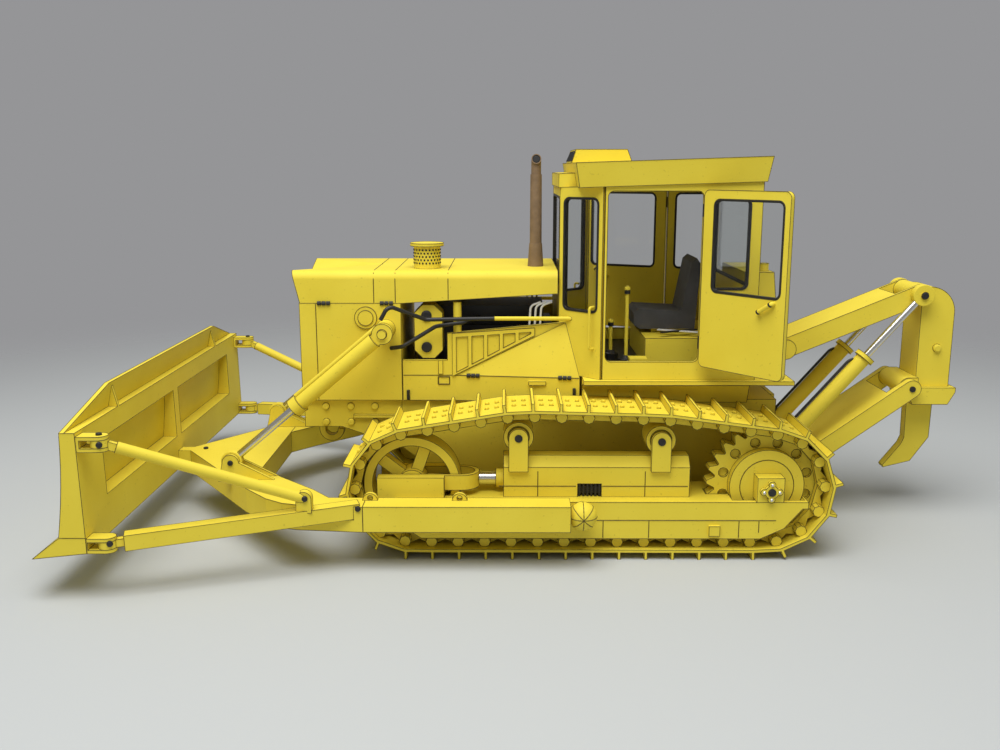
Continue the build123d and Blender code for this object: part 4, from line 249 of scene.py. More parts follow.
def edit_all():
    """Opens the piece in hand for editing with everything in it selected."""
    bpy.ops.object.mode_set(mode="EDIT")
    bpy.ops.mesh.select_mode(type="VERT")
    bpy.ops.mesh.select_all(action="SELECT")


def edited():
    """Ends the editing of the piece in hand and gives it back."""
    bpy.ops.object.mode_set(mode="OBJECT")
    return bpy.context.object


def draw_out(step):
    """Extrudes what is selected by one step."""
    bpy.ops.mesh.extrude_region_move(TRANSFORM_OT_translate={"value": step})


def face_outward():
    """Turns all faces of the piece being edited outward."""
    bpy.ops.mesh.select_all(action="SELECT")
    bpy.ops.mesh.normals_make_consistent(inside=False)


def choose_faces(test):
    """Selects only the faces that a test picks on the piece being edited."""
    bpy.ops.mesh.select_mode(type="FACE")
    bpy.ops.mesh.select_all(action="DESELECT")
    mesh = bmesh.from_edit_mesh(bpy.context.object.data)
    for face in mesh.faces:
        face.select_set(test(face))
    bmesh.update_edit_mesh(bpy.context.object.data)


def round_edges(width, segments):
    """Rounds the sharp edges of the piece in hand."""
    bevel = bpy.context.object.modifiers.new("rounded", "BEVEL")
    bevel.width = width
    bevel.segments = segments
    bevel.limit_method = "ANGLE"
    bpy.ops.object.modifier_apply(modifier=bevel.name)


def joined(name, pieces):
    """Several pieces made into one, under one name."""
    start_fresh()
    for piece in pieces:
        piece.select_set(True)
    bpy.context.view_layer.objects.active = pieces[0]
    if len(pieces) > 1:
        bpy.ops.object.join()
    made = bpy.context.object
    made.name = name
    made.data.name = name
    return made


def dress(piece, finish, body):
    """Gives a piece its finish and puts it on the body that carries it."""
    piece.data.materials.clear()
    piece.data.materials.append(finish)
    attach(piece, body)
    return piece


def painted(piece, slot, body):
    """Dresses a piece in the finish of one of the record's slots."""
    return dress(piece, FINISHES[slot], body)


def node_copy(node, name):
    """A copy of a node with its own mesh, to trace or measure."""
    copy = bpy.data.objects.new(name, node.data.copy())
    bpy.context.scene.collection.objects.link(copy)
    return copy


def drawn_rods(thickness, sides):
    """Turns the bare edges of the piece in hand into round rods with closed ends."""
    bpy.ops.object.convert(target="CURVE")
    line = bpy.context.object.data
    line.bevel_depth = thickness / 2
    line.bevel_resolution = (sides - 4) // 2
    line.use_fill_caps = True
    bpy.ops.object.convert(target="MESH")
    edit_all()
    bpy.ops.mesh.remove_doubles(threshold=WELD)
    face_outward()
    return edited()


def rods(name, runs, thickness, bend=0.0, sides=4):
    """Round rods: a point drawn out along each run, its corners rounded and the run given its thickness."""
    start_fresh()
    bpy.ops.mesh.primitive_plane_add(size=MM)
    edit_all()
    bpy.ops.mesh.delete(type="VERT")
    for run in runs:
        bpy.ops.mesh.primitive_plane_add(size=MM, location=run[0])
        bpy.ops.mesh.merge(type="CENTER")
        for here, there in zip(run, run[1:]):
            draw_out(there - here)
    if bend:
        bpy.ops.mesh.select_all(action="SELECT")
        bpy.ops.mesh.bevel(offset=bend, segments=4, affect="VERTICES")
    edited()
    return joined(name, [drawn_rods(thickness, sides)])


def ring_run(middle, radius, along, up, count):
    """Points of a closed ring in the plane of two directions."""
    turns = [2 * pi * k / count for k in range(count + 1)]
    return [middle + radius * (along * cos(a) + up * sin(a)) for a in turns]


def stud(radius, height, sides, crown=CROWN):
    """A round head standing on the ground: a drum whose top is drawn in to a crown."""
    start_fresh()
    bpy.ops.mesh.primitive_cylinder_add(vertices=sides, radius=radius, depth=height,
                                        location=(0, 0, height / 2))
    settle()
    bpy.ops.object.mode_set(mode="EDIT")
    choose_faces(lambda face: face.normal.z > FACING)
    bpy.ops.mesh.inset(thickness=radius * crown)
    bpy.ops.transform.translate(value=(0, 0, height * crown))
    return edited()


def copies(name, template, places):
    """Copies of one piece at places with their outward directions, joined; the template goes away."""
    made = []
    for place, outward in places:
        copy = node_copy(template, name)
        turn = outward.to_track_quat("Z", "Y").to_matrix().to_4x4()
        copy.data.transform(Matrix.Translation(place) @ turn)
        made.append(copy)
    bpy.data.objects.remove(template)
    return joined(name, made)


def bar(low, high, edge):
    """A straight bar between two corners with softened edges."""
    start_fresh()
    bpy.ops.mesh.primitive_cube_add(size=1, location=(low + high) / 2, scale=high - low)
    settle()
    edit_all()
    bpy.ops.mesh.bevel(offset=edge, segments=2, affect="EDGES")
    return edited()


def on_side(node, x, z, side):
    """The place on a node's outer face seen from one side, with the direction it faces."""
    sight = at(x, CLEAR_SIDE * side, z)
    _, place, normal, _ = frame["nodes"][node].ray_cast(sight, Vector((0, -side, 0)))
    return place, normal


def on_sides(node, spots):
    """The places on a node's outer faces, on both sides of the model, for spots given along and up."""
    return [on_side(node, x, z, side) for x, z in spots for side in SIDES]


def on_top(node, x, y):
    """The place on a node's upper face, with the direction it faces."""
    _, place, normal, _ = frame["nodes"][node].ray_cast(at(x, y, CLEAR_TOP), Vector((0, 0, -1)))
    return place, normal


def outermost(nodes, x, z, side):
    """The outermost place seen from one side among several nodes."""
    hits = [on_side(node, x, z, side) for node in nodes]
    return max((hit for hit in hits if hit[1].length > 0), key=lambda hit: hit[0].y * side)


# Black seals round the windows
SEAL_LAP = 0.2 * MM
SEAL_WIDTH = 0.75 * MM
SEAL_ROUND = 0.1 * MM
WALL_SEAL_DEPTH = 1.8 * MM
DOOR_SEAL_DEPTH = 1.56 * MM
WINDOW_CORNER = 2.0 * MM
WINDOW_MID_Z = 93.7
WINDOW_HEIGHT = 27.4
# Each opening's middle, width, height and turn about the upright; the last two stand on both sides
CROSS_WINDOWS = (((-61.8, 0, WINDOW_MID_Z), 40.6, WINDOW_HEIGHT, 90),
                 ((-3.1, 0, WINDOW_MID_Z), 56.6, WINDOW_HEIGHT, 90))
SIDE_WINDOWS = (((-55.86, 27.56, 89.95), 13.85, 34.9, 44.53),
                ((-11.65, 33.4, WINDOW_MID_Z), 11.7, WINDOW_HEIGHT, 0))
DOOR_WINDOW_WIDTH = 25.0
# How far each door stands turned from shut, in degrees
DOOR_TURN = {"door_left": 128, "door_right": -25}


def window_seal(middle, width, height, turn, depth=WALL_SEAL_DEPTH):
    """One seal: a ring with round corners that straddles the window's edge on both faces of the wall."""
    start_fresh()
    bpy.ops.mesh.primitive_plane_add(size=1)
    sheet = bpy.context.object
    sheet.scale = (width * MM + 2 * SEAL_LAP, height * MM + 2 * SEAL_LAP, 1)
    settle()
    edit_all()
    bpy.ops.mesh.bevel(offset=WINDOW_CORNER + SEAL_LAP, segments=6, affect="VERTICES")
    bpy.ops.mesh.select_mode(type="FACE")
    bpy.ops.mesh.select_all(action="SELECT")
    bpy.ops.mesh.inset(thickness=SEAL_WIDTH)
    bpy.ops.mesh.delete(type="FACE")
    bpy.ops.mesh.select_all(action="SELECT")
    draw_out((0, 0, depth))
    face_outward()
    edited()
    round_edges(SEAL_ROUND, 2)
    stand = Matrix.Rotation(radians(90), 4, "X") @ Matrix.Translation((0, 0, -depth / 2))
    sheet.data.transform(Matrix.Translation(middle) @ Matrix.Rotation(radians(turn), 4, "Z") @ stand)
    return sheet


def window_seals():
    """Seals of the fixed windows and of the two doors."""
    fixed = [window_seal(at(*middle), width, height, turn) for middle, width, height, turn in CROSS_WINDOWS]
    for side in SIDES:
        for (x, y, z), width, height, turn in SIDE_WINDOWS:
            fixed.append(window_seal(at(x, y * side, z), width, height, turn * side))
    painted(joined("cab_window_seals", fixed), "black_card", "tractor")
    for door, turn in DOOR_TURN.items():
        low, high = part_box(door + "_glass")
        ring = window_seal((low + high) / 2, DOOR_WINDOW_WIDTH, WINDOW_HEIGHT, turn, DOOR_SEAL_DEPTH)
        painted(joined(door + "_window_seal", [ring]), "black_card", door)


# Dark seams where cards meet
SEAM = 0.3 * MM
BONNET_SIDE = 23.6
BONNET_TOP = 84.6
BONNET_ROUND = 2.6
BONNET_FOOT = 74.6
# Where the bonnet's lower edge starts to rise towards the cab, and by how much
BONNET_RISE_FROM = -112.7
BONNET_RISE = 0.062
BONNET_SEAMS = (-121.1, -114.3, -97.6)
PANEL_SEAM_Z = 51.2
GUARD_SIDE, GUARD_FOLD_Z, GUARD_FOOT_Z = 51.5, 12.4, 6.9
HOUSING_SIDE, HOUSING_SEAM_Z = 46.5, 21.5
HOUSING_JOINT_FOOT, HOUSING_JOINT_HEAD = 18.3, 26.2
SIDE_SEAMS = (
    # Corner of the radiator housing
    ((-139.6, BONNET_SIDE, 43.3), (-139.6, BONNET_SIDE, 74.2)),
    # Upper edge of the lower side panel
    ((-112.2, BONNET_SIDE, PANEL_SEAM_Z), (-95.5, BONNET_SIDE, PANEL_SEAM_Z), (-56.2, 28.4, PANEL_SEAM_Z)),
    # Fold along the guard plate
    ((-112.6, GUARD_SIDE, GUARD_FOLD_Z), (2.0, GUARD_SIDE, GUARD_FOLD_Z)),
    # Seams along the recoil housing and across it
    ((-81.5, HOUSING_SIDE, HOUSING_SEAM_Z), (-58.0, HOUSING_SIDE, HOUSING_SEAM_Z)),
    ((-50.0, HOUSING_SIDE, HOUSING_SEAM_Z), (-24.0, HOUSING_SIDE, HOUSING_SEAM_Z)),
    ((-69.6, HOUSING_SIDE, HOUSING_JOINT_FOOT), (-69.6, HOUSING_SIDE, HOUSING_JOINT_HEAD)),
    ((-37.0, HOUSING_SIDE, HOUSING_JOINT_FOOT), (-37.0, HOUSING_SIDE, HOUSING_JOINT_HEAD)),
    # Joints below the guard plate's fold
    ((-50.0, GUARD_SIDE, GUARD_FOLD_Z), (-50.0, GUARD_SIDE, GUARD_FOOT_Z)),
    ((-36.2, GUARD_SIDE, GUARD_FOLD_Z), (-36.2, GUARD_SIDE, GUARD_FOOT_Z)),
    ((-9.1, GUARD_SIDE, GUARD_FOLD_Z), (-9.1, GUARD_SIDE, GUARD_FOOT_Z)),
    ((-3.1, GUARD_SIDE, GUARD_FOLD_Z), (-3.1, GUARD_SIDE, 8.6)),
)
COVER_SIDE, COVER_RING = 46.4, 8.2 * MM
PUSH_BALL, BALL_RING, BALL_SEAMS = (-56.6, 57.4, 15.8), 4.2 * MM, 4
ARM_SEAM_X, ARM_TOP, ARM_FOOT = -121, 19.9, 12.4
ARM_INNER, ARM_OUTER = 53, 61.5
NOSE_SEAM_X = -159.3
PUSH_FRAME_SEAMS = (
    # Round the push arm where the slanted beam starts, and across the nose where it ends
    ((ARM_SEAM_X, ARM_INNER, ARM_TOP), (ARM_SEAM_X, ARM_OUTER, ARM_TOP), (ARM_SEAM_X, ARM_OUTER, ARM_FOOT)),
    ((NOSE_SEAM_X, 22.6, ARM_TOP), (NOSE_SEAM_X, 44.0, ARM_TOP)),
)


def bonnet_hoop(x):
    """A seam up one side of the bonnet, across its top and down the other side."""
    knee = BONNET_ROUND * (1 - cos(pi / 4))
    half = [
        at(x, BONNET_SIDE, BONNET_FOOT + max(0.0, (x - BONNET_RISE_FROM) * BONNET_RISE)),
        at(x, BONNET_SIDE, BONNET_TOP - BONNET_ROUND),
        at(x, BONNET_SIDE - knee, BONNET_TOP - knee),
        at(x, BONNET_SIDE - BONNET_ROUND, BONNET_TOP),
    ]
    other = [Vector((p.x, -p.y, p.z)) for p in reversed(half)]
    return half + other


def body_seams():
    """Seams of bonnet, radiator, side panels, guards, recoil housings, sprocket covers and push balls."""
    along, across, up = Vector((1, 0, 0)), Vector((0, 1, 0)), Vector((0, 0, 1))
    runs = [bonnet_hoop(x) for x in BONNET_SEAMS]
    for side in SIDES:
        runs += [side_run(points, side) for points in SIDE_SEAMS]
        runs.append(ring_run(at(0, COVER_SIDE * side, AXLE_Z), COVER_RING, along, up, count=32))
        x, y, z = PUSH_BALL
        for k in range(BALL_SEAMS):
            lean = along * cos(pi * k / BALL_SEAMS) + up * sin(pi * k / BALL_SEAMS)
            runs.append(ring_run(at(x, y * side, z), BALL_RING, across, lean, count=20))
    dress(rods("body_seams", runs, SEAM), SEAM_INK_AND_SHADE, "tractor")


def push_frame_seams():
    """Seams where the slanted beams meet the arms and the nose."""
    runs = [side_run(points, side) for side in SIDES for points in PUSH_FRAME_SEAMS]
    dress(rods("push_frame_seams", runs, SEAM), SEAM_INK_AND_SHADE, "push_frame")


# Dark lines along the card's sharp edges
EDGE_LINE = 0.2 * MM
EDGE_TURN = radians(35)
PLAIN_NODES = ("engine", "exhaust", "seat", "levers", "lift_hoses", "lift_rods", "ripper_rods",
               "recoil_springs", "recoil_rods", "cab_floor")


def keep_sharp_edges():
    """Leaves only the sharp edges of the piece in hand, as bare lines."""
    edit_all()
    bpy.ops.mesh.remove_doubles(threshold=WELD)
    bpy.ops.mesh.select_mode(type="EDGE")
    bpy.ops.mesh.select_all(action="SELECT")
    bpy.ops.mesh.mark_sharp(clear=True)
    bpy.ops.mesh.select_all(action="DESELECT")
    bpy.ops.mesh.edges_select_sharp(sharpness=EDGE_TURN)
    bpy.ops.mesh.mark_sharp()
    bpy.ops.mesh.select_all(action="SELECT")
    bpy.ops.mesh.delete(type="ONLY_FACE")
    mesh = bmesh.from_edit_mesh(bpy.context.object.data)
    for edge in mesh.edges:
        edge.select_set(edge.smooth)
    bmesh.update_edit_mesh(bpy.context.object.data)
    bpy.ops.mesh.delete(type="EDGE")
    edited()


def card_edges():
    """Every sharp edge of the card pieces, traced with a fine line, one piece for each body."""
    bodies = {}
    for name, node in frame["nodes"].items():
        if name not in PLAIN_NODES and not name.endswith("glass"):
            bodies.setdefault(body_of(node)[0], []).append(node)
    for body, nodes in bodies.items():
        joined(body + "_card_edges", [node_copy(node, node.name + "_edges") for node in nodes])
        keep_sharp_edges()
        dress(drawn_rods(EDGE_LINE, sides=4), SEAM_INK_AND_SHADE, body)


# Hinges, handles and rails

# Panel hinges: middle along, out to the side, level, and how far the panel flares out along its run
PANEL_HINGES = ((-137.0, 23.7, 74.4, 0.0), (-117.1, 23.7, 74.4, 0.0),
                (-89.8, 24.4, PANEL_SEAM_Z, 0.12), (-60.7, 27.9, PANEL_SEAM_Z, 0.12))
PANEL_HINGE_THICK = 1.4 * MM
KNUCKLE_STEP = 1.45
KNUCKLE_HALF = 0.6
CAB_RAIL = ((-52.3, 31.9, 61.4), (-53.8, 33.5, 61.4), (-53.8, 33.5, 74.4), (-52.3, 31.9, 74.4))
RAIL_THICK, RAIL_BEND = 0.8 * MM, 0.7 * MM
DOOR_AXIS = (-19.7, 35.8)
DOOR_SIDE = {"door_left": NEAR, "door_right": FAR}
DOOR_HINGE_THICK, DOOR_HINGE_HALF = 2.2 * MM, 1.9
DOOR_HINGE_LEVELS = (64, 104)
# Door handle: so far along the leaf, in from the hinge's line, and level
HANDLE = ((22.4, 1.2, 75.9), (22.4, 2.6, 75.9), (27.2, 2.6, 78.9), (27.2, 1.2, 78.9))
HANDLE_ENDS = (((22.6, 2.6, 76.0), (23.0, 2.6, 76.3)), ((26.6, 2.6, 78.5), (27.0, 2.6, 78.8)))
HANDLE_THICK, HANDLE_BEND, HANDLE_END_THICK = 1.3 * MM, 0.6 * MM, 1.5 * MM


def panel_hinges():
    """Black hinges of three knuckles along the bonnet and panels, and the rails beside the cab."""
    barrels = []
    for side in SIDES:
        for x, y, z, flare in PANEL_HINGES:
            for step in (-KNUCKLE_STEP, 0, KNUCKLE_STEP):
                ends = (x + step - KNUCKLE_HALF, x + step + KNUCKLE_HALF)
                barrels.append([at(end, (y + (end - x) * flare) * side, z) for end in ends])
    painted(rods("panel_hinges", barrels, PANEL_HINGE_THICK, sides=10), "black_card", "tractor")
    rails = [side_run(CAB_RAIL, side) for side in SIDES]
    painted(rods("panel_handles", rails, RAIL_THICK, RAIL_BEND, sides=10), "yellow_card", "tractor")


def on_leaf(door, along, inward, z):
    """A place on a door as it stands: so far along the leaf from its hinge and so far in from that line."""
    side = DOOR_SIDE[door]
    turn = Matrix.Rotation(radians(DOOR_TURN[door]), 3, "Z")
    axis = at(DOOR_AXIS[0], DOOR_AXIS[1] * side, z)
    return axis + turn @ Vector((-along, -inward * side, 0)) * MM


def door_hinges():
    """Two black hinge barrels on each door's axis."""
    x, y = DOOR_AXIS
    for door, side in DOOR_SIDE.items():
        barrels = [[at(x, y * side, z - DOOR_HINGE_HALF), at(x, y * side, z + DOOR_HINGE_HALF)]
                   for z in DOOR_HINGE_LEVELS]
        painted(rods(door + "_hinges", barrels, DOOR_HINGE_THICK, sides=12), "black_card", door)


def door_handles():
    """A bent handle on the inside of each door, its grip black at both ends."""
    for door in DOOR_SIDE:
        grip = [on_leaf(door, *point) for point in HANDLE]
        painted(rods(door + "_handle", [grip], HANDLE_THICK, HANDLE_BEND, sides=10), "yellow_card", door)
        ends = [[on_leaf(door, *point) for point in run] for run in HANDLE_ENDS]
        painted(rods(door + "_handle_ends", ends, HANDLE_END_THICK, sides=10), "black_card", door)


# Eyes of the bright rods

# Each eye's middle, radius and half width
LIFT_EYE, LIFT_EYE_RADIUS, LIFT_EYE_HALF = (-166, 33, 25.4), 3.35 * MM, 1.4 * MM
RIPPER_EYE, RIPPER_EYE_RADIUS, RIPPER_EYE_HALF = (57.6, 10, 75.4), 3.55 * MM, 1.32 * MM
EYE_RIM = 0.25 * MM
EYE_INSET = 0.3


def eye_drum(middle, radius, half):
    """A card drum round a rod's eye, its rims softened."""
    start_fresh()
    bpy.ops.mesh.primitive_cylinder_add(vertices=32, radius=radius, depth=2 * half, location=middle,
                                        rotation=(pi / 2, 0, 0))
    settle()
    bpy.ops.object.mode_set(mode="EDIT")
    choose_faces(lambda face: abs(face.normal.y) > FACING)
    bpy.ops.mesh.inset(thickness=EYE_INSET * radius)
    drum = edited()
    round_edges(EYE_RIM, 2)
    return drum


def rod_eyes():
    """Yellow card drums that carry the bright rods' eyes."""
    for name, place, radius, half, body in (
            ("lift_rod_eyes", LIFT_EYE, LIFT_EYE_RADIUS, LIFT_EYE_HALF, "lift_rods"),
            ("ripper_rod_eyes", RIPPER_EYE, RIPPER_EYE_RADIUS, RIPPER_EYE_HALF, "ripper_rods")):
        drums = [eye_drum(side_run([place], side)[0], radius, half) for side in SIDES]
        painted(joined(name, drums), "yellow_card", body)


# Small fittings on panels and guard plates

# Each tab and latch: from and to along the model, foot, head, inner and outer face
CARD_TABS = ((-72.2, -66.6, 48.7, 50.1, 26.2, 27.6), (-101.0, -99.4, 51.6, 56.2, 23.2, 24.1),
             (-18.3, -14.9, 7.7, 11.0, 51.2, 52.6))
TAB_BEVEL = 0.2 * MM
TAB_LINE_INSET = 0.1 * MM
LATCHES = ((-111.2, -110.2, 43.2, 46.4, 23.2, 24.4), (-58.2, -57.2, 44.8, 48.0, 27.8, 29.0))
LATCH_BEVEL = 0.25 * MM
FRAME_SIDE = 23.65
SQUARE_FRAME = ((-101.0, FRAME_SIDE, 48.3), (-101.0, FRAME_SIDE, 50.7), (-97.4, FRAME_SIDE, 50.7),
                (-97.4, FRAME_SIDE, 48.3), (-101.0, FRAME_SIDE, 48.3))
FRAME_THICK = 0.5 * MM
ENGINE_PIPE = ((-94.8, 21.6, 58.0), (-94.8, 21.6, 74.6))
PIPE_THICK = 2.6 * MM
# Wires beside the cab: the first one's place along, the step to the next, and the bow each makes
WIRE_FIRST, WIRE_STEP, WIRE_COUNT = -71.5, 1.7, 3
WIRE_SIDE = 21.5
WIRE_BOW = ((3.2, 74.6), (0, 73.4), (-0.4, 66.0), (1.2, 60.0))
WIRE_THICK, WIRE_BEND = 0.7 * MM, 1.2 * MM


def corners_of(fitting, side):
    """The low and high corners of a tab or latch on one side of the model."""
    start, end, foot, head, inner, outer = fitting
    near, far = sorted((inner * side, outer * side))
    return at(start, near, foot), at(end, far, head)


def tab_outline(low, high, side):
    """The closed run round a tab's outer face, just inside its corners."""
    left, right = low.x + TAB_LINE_INSET, high.x - TAB_LINE_INSET
    foot, head = low.z + TAB_LINE_INSET, high.z - TAB_LINE_INSET
    face = high.y if side == FAR else low.y
    corners = ((left, foot), (right, foot), (right, head), (left, head), (left, foot))
    return [Vector((x, face, z)) for x, z in corners]


def panel_fittings():
    """Card tabs with dark edges, black latches, a square frame, and a pipe beside the engine."""
    tabs = []
    outlines = []
    latches = []
    for side in SIDES:
        for tab in CARD_TABS:
            low, high = corners_of(tab, side)
            tabs.append(bar(low, high, TAB_BEVEL))
            outlines.append(tab_outline(low, high, side))
        latches += [bar(*corners_of(latch, side), LATCH_BEVEL) for latch in LATCHES]
    frames = [side_run(SQUARE_FRAME, side) for side in SIDES]
    pipes = [side_run(ENGINE_PIPE, side) for side in SIDES]
    painted(joined("panel_tabs", tabs), "yellow_card", "tractor")
    dress(rods("panel_tab_edges", outlines, EDGE_LINE), SEAM_INK_AND_SHADE, "tractor")
    painted(joined("panel_latches", latches), "black_card", "tractor")
    dress(rods("panel_frames", frames, FRAME_THICK), SEAM_INK_AND_SHADE, "tractor")
    painted(rods("engine_pipes", pipes, PIPE_THICK, sides=14), "yellow_card", "tractor")


def engine_wires():
    """Three pale wires that drop in a bow behind the upper hose, beside the cab."""
    wires = []
    for side in SIDES:
        for k in range(WIRE_COUNT):
            x = WIRE_FIRST + WIRE_STEP * k
            wires.append([at(x + along, WIRE_SIDE * side, z) for along, z in WIRE_BOW])
    dress(rods("engine_wires", wires, WIRE_THICK, WIRE_BEND, sides=8), WHITE_TAPE, "tractor")


# Exhaust stack
STACK_AXIS = (-69.6, -7.0)
STACK_SIDES = 28
# Level and radius at each step up the stack
STACK_STEPS = ((84.6, 2.6), (92.1, 2.1), (92.1, 1.95), (114.3, 1.85), (114.3, 1.6), (117.0, 1.6))
STACK_TOP, STACK_TIP = STACK_STEPS[-1]
STACK_BEND = 2.2
STACK_TURNS = 5
STACK_TURN = radians(16)
STACK_SMOOTH = radians(35)
TIP_TURN = STACK_TURN * STACK_TURNS
TIP_OUTWARD = Vector((0, -sin(TIP_TURN), cos(TIP_TURN)))
MOUTH_RIM = 0.3
MOUTH_DEPTH = 2.0
# A black disc sunk just inside the mouth: painted shade in the open tube
SHADE_DISC_SUNK = 0.5
SHADE_DISC_HEIGHT = 0.2 * MM


def stack_tube():
    """The stack drawn up step by step from its foot, bent over to the near side and opened at its mouth."""
    x, y = STACK_AXIS
    start_fresh()
    level, radius = STACK_STEPS[0]
    bpy.ops.mesh.primitive_circle_add(vertices=STACK_SIDES, radius=radius * MM, fill_type="NGON",
                                      location=at(x, y, level))
    settle()
    edit_all()
    for z, wide in STACK_STEPS[1:]:
        draw_out((0, 0, (z - level) * MM))
        grow = wide / radius
        bpy.ops.transform.resize(value=(grow, grow, 1), center_override=at(x, y, z))
        level, radius = z, wide
    hinge = at(x, y - STACK_BEND, STACK_TOP)
    for _ in range(STACK_TURNS):
        draw_out((0, 0, 0))
        # With no window the turn goes the other way, so its sign is changed
        bpy.ops.transform.rotate(value=-STACK_TURN, orient_axis="X", orient_type="GLOBAL",
                                 center_override=hinge)
    bpy.ops.mesh.inset(thickness=MOUTH_RIM * MM)
    draw_out(-TIP_OUTWARD * MOUTH_DEPTH * MM)
    face_outward()
    return edited()


def exhaust_stack():
    """The exhaust of rolled card: a cone, two tubes one in the other, and a bent tip whose open mouth is
    darkened by a black disc of painted shade.
    """
    stack = joined("exhaust_stack", [stack_tube()])
    bpy.ops.object.shade_smooth_by_angle(angle=STACK_SMOOTH)
    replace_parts(painted(stack, "brown_paint", "tractor"), "exhaust")
    x, y = STACK_AXIS
    reach = Vector((0, -STACK_BEND, 0)) + STACK_BEND * Vector((0, cos(TIP_TURN), sin(TIP_TURN)))
    mouth = at(x, y, STACK_TOP) + (reach - TIP_OUTWARD * SHADE_DISC_SUNK) * MM
    # Painted shade: the black disc that darkens the inside of the mouth
    shade_disc = stud((STACK_TIP - MOUTH_RIM) * MM, SHADE_DISC_HEIGHT, 20)
    painted(copies("exhaust_mouth_painted_shade", shade_disc, [(mouth, TIP_OUTWARD)]), "black_card", "tractor")


# Bolts, rivets and pin ends
# Each card bolt head sits on a slightly wider, very thin dark disc: painted shade round its foot
SHADE_RING_LAP = 0.14 * MM
SHADE_RING_HEIGHT = 0.06 * MM
SHADE_RING_CROWN = 0.1
SHOE_MIN_AREA = 60 * MM * MM
SHOE_BOLT_ALONG = 1.5 * MM
SHOE_BOLT_ACROSS = 3.2 * MM
SHOE_FLAT = radians(1)
SHOE_LEVEL = 0.01
FRAME_BOLTS = [(x, z) for x in (-137.7, -129.6, -121.8) for z in (40.6, 35.4)]
VALVE_CAPS = ((-104.7, 70.2), (-104.7, 60.0))
# Black discs on the carrier rollers' hubs: painted shade of the hub holes
CARRIER_HUB_SHADE = ((-75.5, 36.8), (-32.5, 35.8))
BEARING_BOLT_RING = 2.3
BEARING_BOLTS = [(BEARING_BOLT_RING * cos(pi * k / 2), AXLE_Z + BEARING_BOLT_RING * sin(pi * k / 2))
                 for k in range(4)]
BLADE_NODES = ("blade_back", "cutting_edge", "upper_struts", "lower_struts", "push_diagonals", "push_arms")
LIFT_PIN = (LIFT_EYE[0], LIFT_EYE[2])
BLADE_TOP_PIN = (-188.4, 79.4)
NOSE_TOP_PIN = (-184.4, 0)
STAY_PINS = ((-187.6, 44.2), (-187.1, 16.3), (-136.9, 23.7), (-122.3, 19.4))
RIPPER_FRAME_PIN = (55.7, 44.3)
RIPPER_HEAD_PIN = (RIPPER_EYE[0], RIPPER_EYE[2])
COLUMN_BOLT = (64.8, 57.3)
RIPPER_FOOT = (12.5, 22.5)
# Each kind of head: its radius and height in millimetres, and how many sides it is drawn with
HEADS = {
    "track_left_bolts": (0.65, 0.55, 6),
    "track_right_bolts": (0.65, 0.55, 6),
    "frame_bolts": (1.1, 0.7, 12),
    "valve_caps": (1.7, 0.6, 16),
    "carrier_bolts": (1.2, 0.3, 14),
    "bearing_bolts": (0.5, 0.4, 8),
    "bearing_caps": (1.2, 0.4, 16),
    "mount_pins": (1.3, 0.4, 14),
    "push_frame_pins": (0.85, 0.5, 14),
    "ripper_frame_pins": (1.0, 0.4, 14),
    "ripper_head_pins": (1.1, 0.4, 14),
    "column_bolts": (1.3, 0.9, 14),
}


def caps(name, places, slot, body):
    """Round heads of one kind and finish on their places."""
    radius, height, sides = HEADS[name]
    painted(copies(name, stud(radius * MM, height * MM, sides), places), slot, body)


def card_bolts(name, places, body):
    """Yellow card bolt heads, each with a thin dark ring of painted shade round its foot."""
    caps(name, places, "yellow_card", body)
    radius, _, sides = HEADS[name]
    # Painted shade: a dark ring round the foot of each head
    shade_ring = stud(radius * MM + SHADE_RING_LAP, SHADE_RING_HEIGHT, sides, SHADE_RING_CROWN)
    dress(copies(name + "_painted_shade_rings", shade_ring, places), SEAM_INK_AND_SHADE, body)


def shoe_spots(track):
    """Four places on the outer face of each shoe of a track, found from the track's own flat faces."""
    copy = node_copy(frame["nodes"][track], track + "_shoes")
    joined(track + "_shoes", [copy])
    edit_all()
    bpy.ops.mesh.remove_doubles(threshold=WELD)
    bpy.ops.mesh.dissolve_limited(angle_limit=SHOE_FLAT)
    edited()
    middle = sum((v.co for v in copy.data.vertices), Vector()) / len(copy.data.vertices)
    across = Vector((0, 1, 0))
    spots = []
    for face in copy.data.polygons:
        plate = abs(face.normal.y) < SHOE_LEVEL and len(face.vertices) == 4 and face.area > SHOE_MIN_AREA
        if plate and face.normal.dot(face.center - middle) > 0:
            along = across.cross(face.normal)
            spots += [(face.center + along * SHOE_BOLT_ALONG * i + across * SHOE_BOLT_ACROSS * j,
                       face.normal.copy()) for i in (-1, 1) for j in (-1, 1)]
    bpy.data.objects.remove(copy)
    return spots


def shoe_bolts():
    """Four bolt heads on each track shoe."""
    for track in ("track_left", "track_right"):
        card_bolts(track + "_bolts", shoe_spots(track), "tractor")


def tractor_bolts_and_hub_shade():
    """Bolts and caps on front frame, valve blocks and axle bearings, and black discs of painted shade in the
    carrier rollers' hubs.
    """
    card_bolts("frame_bolts", on_sides("front_frame", FRAME_BOLTS), "tractor")
    caps("valve_caps", on_sides("valve_blocks", VALVE_CAPS), "black_card", "tractor")
    # Painted shade: black discs where the carrier rollers' hub holes are
    caps("carrier_bolts", on_sides("recoil_housings", CARRIER_HUB_SHADE), "black_card", "tractor")
    caps("bearing_bolts", on_sides("axle_bearings", BEARING_BOLTS), "bright_wire", "tractor")
    caps("bearing_caps", on_sides("axle_bearings", [(0, AXLE_Z)]), "black_card", "tractor")


def push_frame_pins():
    """Black pin ends on nose, blade, stays and arms."""
    x, y = BLADE_TOP_PIN
    places = on_sides("push_nose", [LIFT_PIN])
    places += [on_top("blade_back", x, y * side) for side in SIDES]
    places += [on_top("push_nose", *NOSE_TOP_PIN)]
    places += [outermost(BLADE_NODES, x, z, side) for x, z in STAY_PINS for side in SIDES]
    caps("push_frame_pins", places, "black_card", "push_frame")


